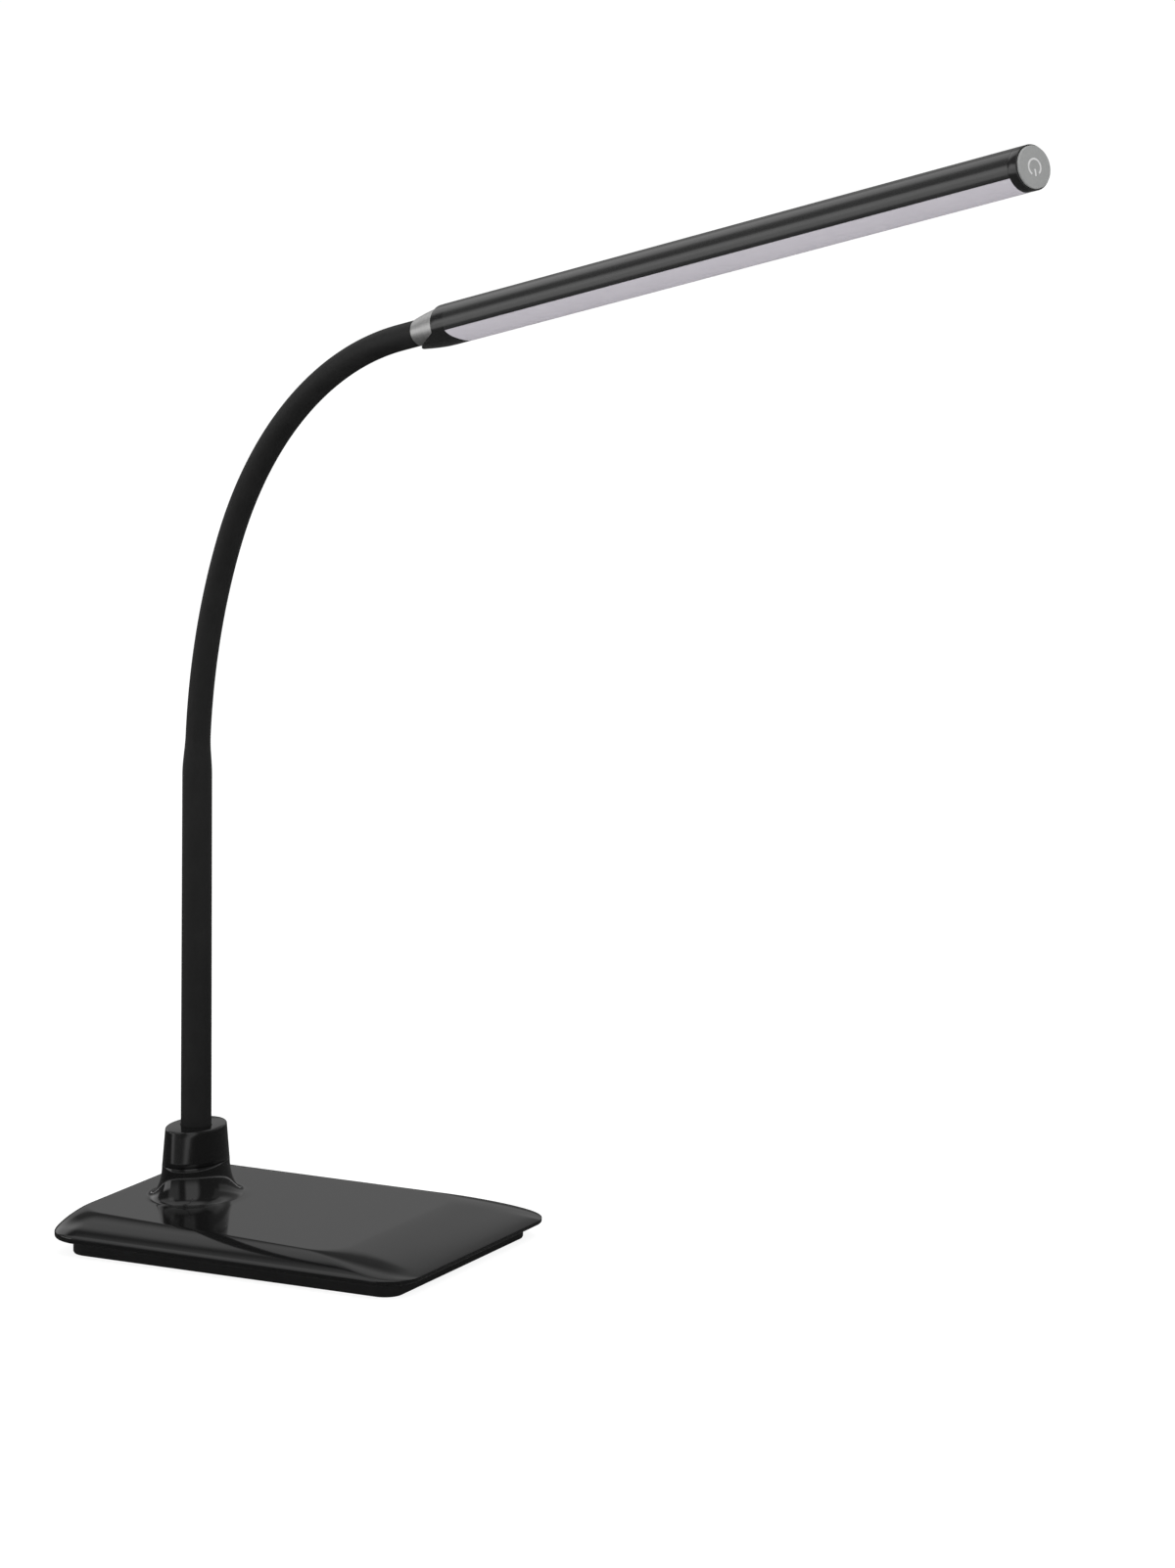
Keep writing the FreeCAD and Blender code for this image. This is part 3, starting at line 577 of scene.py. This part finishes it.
def shellRings():
    rings = [ovalRing(base["bore"], base["bore"], base["innerTop"]),
             ovalRing(base["bore"], base["bore"], base["footTop"])]
    edge = base["seamRound"]
    rings.append(ovalRing(base["footX"] - edge, base["footY"] - edge, base["footTop"]))
    soft = edge * 0.3
    rings.append(ovalRing(base["footX"] - soft, base["footY"] - soft, base["footTop"] - soft))
    rings.append(ovalRing(base["footX"], base["footY"], base["footTop"] - edge))
    height = base["footTop"] - edge - base["top"]
    for step in range(1, base["flareSteps"] + 1):
        angle = math.pi / 2 * step / base["flareSteps"]
        spread = 1 - math.cos(angle)
        z = base["top"] + height * (1 - math.sin(angle))
        foot = ovalRing(base["footX"] + base["flareX"] * spread, base["footY"] + base["flareY"] * spread, z)
        rings.append(lean(foot, math.sin(angle)))
    foot = rings[-1]
    for share in (0.05, 0.3, 0.6, 0.85, 0.97):
        rings.append([inner.lerp(outer, share) for inner, outer in zip(foot, lean(crest, 1.0))])
    for step in range(base["crestSteps"] + 1):
        angle = math.pi / 2 * (1 - step / base["crestSteps"])
        inward = 1 - math.cos(angle) ** (2 / base["crestPower"])
        upward = math.sin(angle) ** (2 / base["crestPower"])
        radius = base["corner"] + (base["crestCorner"] - base["corner"]) * inward
        z = base["rimTop"] + (base["top"] - base["rimTop"]) * upward
        ring = outlineRing(base["crestRear"] * inward, base["crestFront"] * inward,
                           base["crestSideRear"] * inward, base["crestSideFront"] * inward, radius, z)
        rings.append(lean(ring, leanShare(z)))
    for step in range(1, 9):
        angle = math.pi / 2 * step / 8
        inset = base["rimRound"] * (1 - math.cos(angle))
        z = base["rimNose"] - (base["rimNose"] - base["rimBottom"]) * math.sin(angle)
        rings.append(lean(insetRing(inset, base["corner"] - inset, z), leanShare(z)))
    inner = base["innerInset"]
    rings.append(insetRing(inner, base["innerCorner"], base["rimBottom"]))
    rings.append(insetRing(inner, base["innerCorner"], base["rimBottom"] + base["innerStep"]))
    ceiling = outlineRing(inner + base["ceilingRear"], base["ceilingFront"], base["ceilingSideRear"],
                          base["ceilingSideFront"], base["innerCorner"], base["innerTop"])
    rings.append(lean(ceiling, 1.0))
    return rings


def boxMesh(name, low, high):
    work = bmesh.new()
    bmesh.ops.create_cube(work, size=1.0)
    for vert in work.verts:
        vert.co = [low[i] + (high[i] - low[i]) * (vert.co[i] + 0.5) for i in range(3)]
    mesh = bpy.data.meshes.new(name)
    work.to_mesh(mesh)
    work.free()
    return mesh


def makeBaseShell():
    mesh = ringsMesh("baseShell", shellRings(), looped=True, sharpAngle=40.0)
    pocket = boxMesh("pocket", (jack["front"], -jack["half"], jack["height"] - jack["below"]),
                     (jack["rear"], jack["half"], jack["height"] + jack["half"]))
    mouth = ringsMesh("mouth", [circleRing(jack["mouth"], jack["mouthStart"]),
                                circleRing(jack["mouth"], jack["mouthEnd"])])
    mouth.transform(Matrix.Translation((0, 0, jack["height"])))
    mesh = cutMesh(mesh, [pocket, mouth])
    addPiece("baseShell", mesh, finishes["gloss_black"], "base", ["base_shell"])


collar = {
    "bottom": 34.45 * mm,
    "top": 51.45 * mm,
    "bottomX": 13.4 * mm,
    "bottomY": 21.9 * mm,
    "topX": 12.5 * mm,
    "topY": 19.8 * mm,
    "round": 0.9 * mm,
    "edge": 0.25 * mm,
    "bore": 7.4 * mm,
}


def collarRing(insetX, insetY, z, count=128):
    ring = []
    for i in range(count):
        turn = 2 * math.pi * i / count
        ring.append(Vector((insetX * math.cos(turn), insetY * math.sin(turn), z)))
    return ring


def makeCollarCap():
    edge = collar["edge"]
    soft = edge * 0.3
    rings = [collarRing(collar["bore"], collar["bore"], collar["bottom"]),
             collarRing(collar["bottomX"] - edge, collar["bottomY"] - edge, collar["bottom"]),
             collarRing(collar["bottomX"] - soft, collar["bottomY"] - soft, collar["bottom"] + soft)]
    for step in range(9):
        share = step / 8
        z = collar["bottom"] + edge + (collar["top"] - collar["round"] - collar["bottom"] - edge) * share
        rings.append(collarRing(collar["bottomX"] + (collar["topX"] - collar["bottomX"]) * share,
                                collar["bottomY"] + (collar["topY"] - collar["bottomY"]) * share, z))
    for step in range(1, 7):
        angle = math.pi / 2 * step / 6
        inset = collar["round"] * (1 - math.cos(angle))
        z = collar["top"] - collar["round"] * (1 - math.sin(angle))
        rings.append(collarRing(collar["topX"] - inset, collar["topY"] - inset, z))
    lip = 0.3 * mm
    rings.append(collarRing(collar["bore"] + lip, collar["bore"] + lip, collar["top"]))
    rings.append(collarRing(collar["bore"], collar["bore"], collar["top"] - lip))
    mesh = ringsMesh("collarCap", rings, looped=True)
    addPiece("collarCap", mesh, finishes["gloss_black"], "base", ["collar_cap"])


plinth = {
    "inset": 8.8 * mm,
    "corner": 9.2 * mm,
    "wall": 2.0 * mm,
    "bottom": 0.5 * mm,
    "top": 8.4 * mm,
    "edge": 0.3 * mm,
}
mat = {"inset": 9.1 * mm, "corner": 8.9 * mm, "top": 0.5 * mm, "edge": 0.15 * mm}


def makePlinth():
    inset = plinth["inset"]
    corner = plinth["corner"]
    edge = plinth["edge"]
    rings = [insetRing(inset + edge, corner - edge, plinth["bottom"]),
             insetRing(inset + edge * 0.3, corner - edge * 0.3, plinth["bottom"] + edge * 0.3),
             insetRing(inset, corner, plinth["bottom"] + edge),
             insetRing(inset, corner, plinth["top"]),
             insetRing(inset + plinth["wall"], corner - plinth["wall"], plinth["top"]),
             insetRing(inset + plinth["wall"], corner - plinth["wall"], plinth["bottom"] + plinth["wall"])]
    notch = boxMesh("notch", (-base["stemToRear"], -jack["half"], jack["height"] - jack["half"]),
                    (jack["rear"], jack["half"], base["top"]))
    mesh = cutMesh(ringsMesh("basePlinth", rings), [notch])
    addPiece("basePlinth", mesh, finishes["plinth_black"], "base", ["base_plinth"])
    edge = mat["edge"]
    rings = [insetRing(mat["inset"] + edge, mat["corner"] - edge, 0.0),
             insetRing(mat["inset"], mat["corner"], edge),
             insetRing(mat["inset"], mat["corner"], mat["top"])]
    mesh = ringsMesh("baseMat", rings)
    addPiece("baseMat", mesh, finishes["foam_mat"], "base", ["base_mat"])


makeBaseShell()
makeCollarCap()
makePlinth()
print("base made")


# Sleeve of the stem and neck: pieces that meet midway between the pivots, each swept along the neck's course
# by a node tree
def sleeveTree():
    tree = bpy.data.node_groups.new("sleeveAlongCourse", "GeometryNodeTree")
    sockets = {}
    faceIn = tree.interface
    faceIn.new_socket("Geometry", in_out="INPUT", socket_type="NodeSocketGeometry")
    sockets["Segments"] = faceIn.new_socket("Segments", in_out="INPUT", socket_type="NodeSocketInt")
    sockets["Finish"] = faceIn.new_socket("Finish", in_out="INPUT", socket_type="NodeSocketMaterial")
    faceIn.new_socket("Geometry", in_out="OUTPUT", socket_type="NodeSocketGeometry")
    graph = Graph(tree)
    given = graph.put("NodeGroupInput").outputs
    course = graph.out("GeometryNodeMeshToCurve", None, {"Mesh": Link(graph, given["Geometry"])})
    thickness = graph.out("GeometryNodeInputNamedAttribute", {"data_type": "FLOAT"}, {"Name": "sleeveRadius"})
    course = graph.out("GeometryNodeSetCurveRadius", None, {"Curve": course, "Radius": thickness})
    section = graph.out("GeometryNodeCurvePrimitiveCircle", {"mode": "RADIUS"},
                        {"Resolution": Link(graph, given["Segments"]), "Radius": 1.0})
    sweep = {"Curve": course, "Profile Curve": section, "Fill Caps": True}
    node = graph.put("GeometryNodeCurveToMesh", None, sweep)
    if "Scale" in node.inputs:
        graph.feed(node.inputs["Scale"], thickness)
    tube = Link(graph, node.outputs[0])
    solid = graph.out("GeometryNodeRealizeInstances", None, {"Geometry": tube})
    painted = graph.out("GeometryNodeSetMaterial", None,
                        {"Geometry": solid, "Material": Link(graph, given["Finish"])})
    graph.feed(graph.put("NodeGroupOutput").inputs["Geometry"], painted)
    return tree, {key: socket.identifier for key, socket in sockets.items()}


courseTree, courseInputs = sleeveTree()


def sleeveRadius(s):
    if s <= 0:
        share = max(0.0, 1 + s / (neck["stemTop"] - collar["bottom"]))
        return neck["stemRadiusLow"] + (neck["stemRadiusHigh"] - neck["stemRadiusLow"]) * share
    share = min(s / neck["taper"], 1.0)
    narrowing = (1 - math.cos(math.pi * share)) / 2
    return neck["stemRadiusHigh"] + (neck["radius"] - neck["stemRadiusHigh"]) * narrowing


def sleevePiece(name, start, end, replaced):
    count = max(2, round((end - start) / neck["step"]))
    places = [start + (end - start) * i / count for i in range(count + 1)]
    mesh = bpy.data.meshes.new(name)
    mesh.from_pydata([neckPlace(s)[0] for s in places], [(i, i + 1) for i in range(count)], [])
    attribute = mesh.attributes.new("sleeveRadius", "FLOAT", "POINT")
    attribute.data.foreach_set("value", [sleeveRadius(s) for s in places])
    holder = bpy.data.objects.new(name + "Course", mesh)
    modifier = holder.modifiers.new("sweep", "NODES")
    modifier.node_group = courseTree
    modifier[courseInputs["Segments"]] = neck["segments"]
    modifier[courseInputs["Finish"]] = finishes["sleeve_rubber"]
    scene.collection.objects.link(holder)
    bpy.context.view_layer.update()
    made = bpy.data.meshes.new_from_object(holder.evaluated_get(bpy.context.evaluated_depsgraph_get()))
    bpy.data.objects.remove(holder)
    return addPiece(name, tidyMesh(made), finishes["sleeve_rubber"], None, replaced)


def makeSleeve():
    pivots = [neck["rootLength"] + neck["lowLink"] * i for i in range(neck["lowLinks"])]
    pivots += [lowEnd + neck["highLink"] * i for i in range(neck["highLinks"] + 1)]
    joins = [pivots[0] - neck["overlap"]]
    joins += [(a + b) / 2 for a, b in zip(pivots, pivots[1:])]
    joins.append(neckEnd + neck["ferruleSeat"])
    stem = sleevePiece("stemSleeve", collar["bottom"] - neck["stemTop"], joins[0],
                       ["stem_sleeve", "neck_sleeve_00"])
    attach(stem, "base")
    for i, pivot in enumerate(pivots):
        number = "%02d" % (i + 1)
        piece = sleevePiece("neckSleeve" + number, joins[i], joins[i + 1], ["neck_sleeve_" + number])
        neckPlace(pivot - neck["overlap"])[0]
        neckPlace(pivot + neck["overlap"])[0]
        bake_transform(piece)


makeSleeve()
print("sleeve made")


# Head
head = {
    "radius": 9.4 * mm,
    "wall": 1.3 * mm,
    "end": 411.6 * mm,
    "tubeEnd": 410.6 * mm,
    "profileEnd": 405.6 * mm,
    "capEnd": 42.0 * mm,
    "diffuserEdge": 19.4,       # degrees below the horizontal, each side
    "seam": 0.6,                # degrees between housing and diffuser
    "ferruleStart": 15.0 * mm,
    "ferruleEnd": 35.0 * mm,
    "ferruleRear": 6.3 * mm,
    "ferruleFront": 8.5 * mm,
    "ferruleSocket": 1.6 * mm,  # how deep the sleeve's end sits in the ring
    "socketSlack": 0.05 * mm,
    "chinStart": 15.5 * mm,
    "browStart": 33.0 * mm,
    "chinTop": 2.8 * mm,        # how far below the axis the chin begins
    "chinRadius": 7.8 * mm,
    "chinReach": 6.5 * mm,      # how far its underside runs on below the diffuser
    "fullAt": 37.0 * mm,
    "core": 4.4 * mm,
    "capSlack": 0.12 * mm,      # between the rear cap and the ferrule ring in it
    "touchRadius": 8.8 * mm,
    "symbolRadius": 3.3 * mm,
    "symbolWidth": 0.8 * mm,
    "symbolDepth": 0.3 * mm,
    "symbolOpening": 35.0,      # half angle of the gap in the ring
}


def headPiece(name, mesh, slot, replaced):
    mesh.transform(headMatrix)
    return addPiece(name, mesh, finishes[slot], "head", replaced)


def arcPoints(radius, start, end, steps):
    points = []
    for step in range(steps + 1):
        angle = math.radians(start + (end - start) * step / steps)
        points.append((radius * math.cos(angle), radius * math.sin(angle)))
    return points


def ferruleRadius(along):
    share = (along - head["ferruleStart"]) / (head["ferruleEnd"] - head["ferruleStart"])
    return head["ferruleRear"] + (head["ferruleFront"] - head["ferruleRear"]) * math.sin(math.pi / 2 * share)


def makeFerrule():
    start = head["ferruleStart"]
    end = head["ferruleEnd"]
    socket = neck["radius"] + head["socketSlack"]
    deep = start + head["ferruleSocket"]
    rings = [circleRing(head["core"], end), circleRing(head["core"], deep), circleRing(socket, deep),
             circleRing(socket, start), circleRing(head["ferruleRear"] - 0.2 * mm, start)]
    for step in range(25):
        along = start + 0.15 * mm + (end - start - 0.15 * mm) * step / 24
        rings.append(circleRing(ferruleRadius(along), along))
    headPiece("ferruleRing", ringsMesh("ferruleRing", rings, looped=True), "ferrule_silver", ["ferrule_ring"])


def capRadius(along):
    share = min(1.0, max(0.0, (along - head["chinStart"]) / (head["fullAt"] - head["chinStart"])))
    return head["chinRadius"] + (head["radius"] - head["chinRadius"]) * math.sin(math.pi / 2 * share)


def mouthStart(height):
    # the mouth stands square to the axis, and below it the chin runs back to a point
    down = -height * head["radius"] - head["chinTop"]
    share = max(0.0, down / (head["radius"] - head["chinTop"]))
    return head["browStart"] - (head["browStart"] - head["chinStart"]) * share


def capFront(height):
    # the front edge stands square to the axis but for the underside, which runs further along
    edge = math.sin(math.radians(head["diffuserEdge"]))
    share = max(0.0, (-height - edge) / (1 - edge))
    return head["capEnd"] + head["chinReach"] * share ** 1.5


def makeRearCap():
    count = 96
    steps = 18
    rings = []
    outer = []
    inner = []
    for i in range(count):
        turn = 2 * math.pi * i / count
        side = math.cos(turn)
        height = math.sin(turn)
        start = mouthStart(height)
        column = []
        for step in range(steps + 1):
            along = start + (capFront(height) - start) * (step / steps) ** 1.4
            radius = capRadius(along)
            if step == 0:
                radius -= 0.2 * mm
            column.append(Vector((along, radius * side, radius * height)))
        outer.append(column)
        innerStart = start + 0.1 * mm
        radius = ferruleRadius(innerStart) + head["capSlack"]
        deep = head["ferruleEnd"]
        bore = head["ferruleFront"] + head["capSlack"]
        inner.append([Vector((innerStart, radius * side, radius * height)),
                      Vector((deep, bore * side, bore * height)),
                      Vector((deep, head["core"] * side, head["core"] * height)),
                      Vector((head["capEnd"], head["core"] * side, head["core"] * height))])
    for step in range(steps + 1):
        rings.append([column[step] for column in outer])
    for step in (3, 2, 1, 0):
        rings.append([column[step] for column in inner])
    headPiece("rearCap", ringsMesh("rearCap", rings, looped=True), "gloss_black_head", ["rear_cap"])


def makeHousing():
    radius = head["radius"]
    inner = radius - head["wall"]
    edge = head["diffuserEdge"]
    outline = arcPoints(radius, -edge + 0.8, 180 + edge - 0.8, 96)
    outline.append(arcPoints(radius - 0.1 * mm, 180 + edge, 180 + edge, 1)[0])
    outline += arcPoints(inner, 180 + edge, -edge, 72)
    outline.append(arcPoints(radius - 0.1 * mm, -edge, -edge, 1)[0])
    mesh = profileMesh("headHousing", [outline], head["profileEnd"] - head["capEnd"])
    mesh.transform(Matrix.Translation((head["capEnd"], 0, 0)))
    headPiece("headHousing", mesh, "housing_black", ["head_housing"])


def makeDiffuser():
    radius = head["radius"]
    inner = radius - head["wall"]
    edge = head["diffuserEdge"] + head["seam"]
    outline = arcPoints(radius, 180 + edge + 0.8, 360 - edge - 0.8, 80)
    outline.append(arcPoints(radius - 0.1 * mm, -edge, -edge, 1)[0])
    outline += arcPoints(inner, 360 - edge, 180 + edge, 60)
    outline.append(arcPoints(radius - 0.1 * mm, 180 + edge, 180 + edge, 1)[0])
    mesh = profileMesh("diffuserTube", [outline], head["profileEnd"] - head["capEnd"])
    mesh.transform(Matrix.Translation((head["capEnd"], 0, 0)))
    for vert in mesh.vertices:
        if vert.co.x < head["capEnd"] + mm:
            vert.co.x = capFront(vert.co.z / math.hypot(vert.co.y, vert.co.z)) + 0.1 * mm
    headPiece("diffuserTube", mesh, "diffuser_opal", ["diffuser"])


tip = {
    "bore": 7.7 * mm,           # the end ring's, closed by a floor with a hole for the wire
    "floor": 1.6 * mm,
    "wireHole": 1.5 * mm,
    "plugInner": 6.3 * mm,      # the touch cap's plug
    "plugOuter": 7.6 * mm,
    "plugDepth": 1.2 * mm,
}


def makeTip():
    start = head["profileEnd"]
    end = head["tubeEnd"]
    radius = head["radius"]
    floor = start + tip["floor"]
    rings = [circleRing(tip["bore"], end), circleRing(tip["bore"], floor), circleRing(tip["wireHole"], floor),
             circleRing(tip["wireHole"], start)]
    rings += filletRings(radius, start, 0.2 * mm, -1)
    rings += reversed(filletRings(radius, end, 0.25 * mm, 1))
    headPiece("tipRing", ringsMesh("tipRing", rings, looped=True), "gloss_black_head", ["tip_ring"])
    deep = end - tip["plugDepth"]
    rings = [circleRing(tip["plugInner"], deep), circleRing(tip["plugOuter"], deep),
             circleRing(tip["plugOuter"], end), circleRing(head["touchRadius"] - 0.1 * mm, end)]
    rings += [circleRing(head["touchRadius"], end + 0.1 * mm)]
    rings += reversed(filletRings(head["touchRadius"], head["end"], 0.4 * mm, 1, 6))
    mesh = ringsMesh("touchCap", rings)
    grooves = [symbolMesh("groove%d" % i, 0.05 * mm, i) for i in range(2)]
    mesh = cutMesh(mesh, grooves)
    headPiece("touchCap", mesh, "touch_grey", ["touch_cap"])


def symbolMesh(name, grow, part):
    # part 0 is the open ring of a power symbol, part 1 its bar, through the gap at the bottom
    outer = head["symbolRadius"] + head["symbolWidth"] / 2 + grow
    inner = head["symbolRadius"] - head["symbolWidth"] / 2 - grow
    gap = head["symbolOpening"] - math.degrees(grow / head["symbolRadius"])
    half = head["symbolWidth"] / 2 + grow
    if part == 0:
        outline = arcPoints(outer, -90 + gap, 270 - gap, 48) + arcPoints(inner, 270 - gap, -90 + gap, 48)
    else:
        top = -head["symbolRadius"] / 4 + grow
        outline = [(-half, -outer), (half, -outer), (half, top), (-half, top)]
    mesh = profileMesh(name, [outline], head["symbolDepth"] + grow * 2)
    mesh.transform(Matrix.Translation((head["end"] - head["symbolDepth"], 0, 0)))
    return mesh


def makeSymbol():
    work = bmesh.new()
    for part in range(2):
        work.from_mesh(symbolMesh("stroke%d" % part, 0.0, part))
    mesh = bpy.data.meshes.new("touchSymbol")
    work.to_mesh(mesh)
    work.free()
    headPiece("touchSymbol", mesh, "symbol_light", ["touch_symbol"])


makeFerrule()
makeRearCap()
makeHousing()
makeDiffuser()
makeTip()
makeSymbol()
print("head made")


# Camera, from the photograph's own perspective
view = {
    "place": Vector((1505.63, -2656.42, 763.95)) * mm,
    "heading": 26.117,      # degrees to the left of +Y
    "down": 10.170,
    "roll": 0.786,
    "focal": 6763.0,        # in pixels of the photograph
    "tall": 1602.0,
    "sensor": 36.0,
}


def makeCamera():
    heading = math.radians(view["heading"])
    down = math.radians(view["down"])
    roll = math.radians(view["roll"])
    ahead = Vector((-math.sin(heading) * math.cos(down), math.cos(heading) * math.cos(down), -math.sin(down)))
    right = Vector((math.cos(heading), math.sin(heading), 0))
    up = right.cross(ahead)
    turnedRight = right * math.cos(roll) + up * math.sin(roll)
    turnedUp = up * math.cos(roll) - right * math.sin(roll)
    data = bpy.data.cameras.new("camera")
    data.sensor_width = view["sensor"]
    data.lens = view["focal"] * view["sensor"] / view["tall"]
    data.clip_start = 0.05
    data.clip_end = 60.0
    camera = bpy.data.objects.new("camera", data)
    turn = Matrix((turnedRight, turnedUp, -ahead)).transposed().to_4x4()
    camera.matrix_world = Matrix.Translation(view["place"]) @ turn
    scene.collection.objects.link(camera)
    scene.camera = camera


# Studio: a pale floor, panels of light that gloss mirrors, and soft lamps that it doesn't
studio = {
    "ambient": 0.62,
    "floor": 0.8,
    "floorGlow": 0.88,
    "floorShade": 0.24,
    # painted reflection: gloss sees the floor as a glow, dark near the lamp and bright far from it
    "floorInGloss": (0.07, 1.2),        # near the lamp and far from it
    "floorFar": (1.15, 1.65),           # metres from the lamp
    "surround": 0.10,       # what gloss sees between the panels
    # bearings are in degrees to the right of the view's direction, heights in degrees above the floor
    "panels": [
        {"bearing": (-22, 70), "height": (9, 23), "soft": 2.5, "strength": 0.24},
        {"bearing": (5, 80), "height": (17, 44), "soft": 3, "strength": 0.16},
        {"bearing": (-26, 60), "height": (36, 56), "soft": 6, "strength": 0.50},
        {"bearing": (-54, -22), "height": (10, 45), "soft": 6, "strength": 0.92},
        {"bearing": (-115, -74), "height": (-12, 12), "soft": 3, "strength": 1.6},
        {"bearing": (-135, -60), "height": (38, 64), "soft": 8, "strength": 0.68},
        {"bearing": (-180, 180), "height": (62, 91), "soft": 8, "strength": 0.85},
        {"bearing": (120, 165), "height": (5, 55), "soft": 8, "strength": 0.9},
        {"bearing": (-165, -110), "height": (5, 50), "soft": 10, "strength": 0.45},
    ],
}


def band(graph, value, limits, soft):
    inside = graph.smooth(value, limits[0] - soft, limits[0] + soft)
    past = graph.smooth(value, limits[1] - soft, limits[1] + soft)
    return inside * (1 - past)


def makeWorld():
    world = bpy.data.worlds.new("studio")
    world.use_nodes = True
    scene.world = world
    graph = Graph(world.node_tree)
    world.node_tree.nodes.clear()
    heading = math.radians(view["heading"])
    direction = graph.out("ShaderNodeTexCoord", None, None, "Generated")
    turned = graph.out("ShaderNodeVectorRotate", {"rotation_type": "Z_AXIS"},
                       {"Vector": direction, "Angle": -heading})
    parts = graph.put("ShaderNodeSeparateXYZ", None, {"Vector": turned})
    x, y, z = [Link(graph, parts.outputs[i]) for i in range(3)]
    bearing = graph.maths("ARCTAN2", x, y) * math.degrees(1)
    height = graph.maths("ARCSINE", z) * math.degrees(1)
    light = graph.maths("ADD", studio["surround"], 0.0)
    for panel in studio["panels"]:
        mask = band(graph, bearing, panel["bearing"], panel["soft"]) if panel["bearing"][0] > -180 else 1.0
        light = light + band(graph, height, panel["height"], panel["soft"]) * mask * panel["strength"]
    rays = graph.put("ShaderNodeLightPath")
    seen = Link(graph, rays.outputs["Is Camera Ray"])
    mirrored = Link(graph, rays.outputs["Is Glossy Ray"])
    strength = light * mirrored + (1 - mirrored) * studio["ambient"]
    strength = strength * (1 - seen) + seen
    shader = graph.out("ShaderNodeBackground", None, {"Color": (1, 1, 1, 1), "Strength": strength})
    graph.feed(graph.put("ShaderNodeOutputWorld").inputs["Surface"], shader)


def makeFloor():
    mesh = boxMesh("floor", (-12, -12, -0.02), (12, 12, -0.0001))
    floor = bpy.data.objects.new("floor", mesh)
    scene.collection.objects.link(floor)
    paint = bpy.data.materials.new("paleFloor")
    paint.use_nodes = True
    paint.node_tree.nodes.clear()
    graph = Graph(paint.node_tree)
    rays = graph.put("ShaderNodeLightPath")
    seen = Link(graph, rays.outputs["Is Camera Ray"])
    mirrored = Link(graph, rays.outputs["Is Glossy Ray"])
    lit = graph.out("ShaderNodeBsdfDiffuse", None, {"Color": grey(studio["floor"])})
    shade = graph.out("ShaderNodeBsdfDiffuse", None, {"Color": grey(studio["floorShade"])})
    glow = graph.out("ShaderNodeEmission", None, {"Color": (1, 1, 1, 1), "Strength": studio["floorGlow"]})
    spot = graph.out("ShaderNodeNewGeometry", None, None, "Position")
    away = graph.out("ShaderNodeVectorMath", {"operation": "LENGTH"}, {0: spot}, "Value")
    # painted reflection: for gloss the floor is a glow, dark near the lamp and bright far off
    near, far = studio["floorInGloss"]
    gloss = near + graph.smooth(away, *studio["floorFar"]) * (far - near)
    mirror = graph.out("ShaderNodeEmission", None, {"Color": (1, 1, 1, 1), "Strength": gloss})
    camera = graph.out("ShaderNodeAddShader", None, {0: shade, 1: glow})
    other = graph.out("ShaderNodeMixShader", None, {0: mirrored, 1: lit, 2: mirror})
    both = graph.out("ShaderNodeMixShader", None, {0: seen, 1: other, 2: camera})
    graph.feed(graph.put("ShaderNodeOutputMaterial").inputs["Surface"], both)
    mesh.materials.append(paint)


lamps = [
    {"name": "keyLamp", "bearing": 150, "height": 48, "away": 2.2, "size": 1.4, "power": 26},
    {"name": "fillLamp", "bearing": -120, "height": 30, "away": 2.4, "size": 1.6, "power": 12},
    {"name": "topLamp", "bearing": 0, "height": 85, "away": 2.0, "size": 1.6, "power": 14},
]


def makeLamps():
    target = Vector((0.15, -0.05, 0.25))
    for lamp in lamps:
        bearing = math.radians(view["heading"] - lamp["bearing"])
        height = math.radians(lamp["height"])
        level = math.cos(height)
        away = Vector((-math.sin(bearing) * level, math.cos(bearing) * level, math.sin(height)))
        data = bpy.data.lights.new(lamp["name"], "AREA")
        data.shape = "DISK"
        data.size = lamp["size"]
        data.energy = lamp["power"]
        item = bpy.data.objects.new(lamp["name"], data)
        item.location = target + away * lamp["away"]
        item.rotation_euler = away.to_track_quat("Z", "Y").to_euler()
        item.visible_glossy = False
        item.visible_camera = False
        scene.collection.objects.link(item)


makeCamera()
makeWorld()
makeFloor()
makeLamps()
scene.view_settings.view_transform = "Standard"
print("studio made")
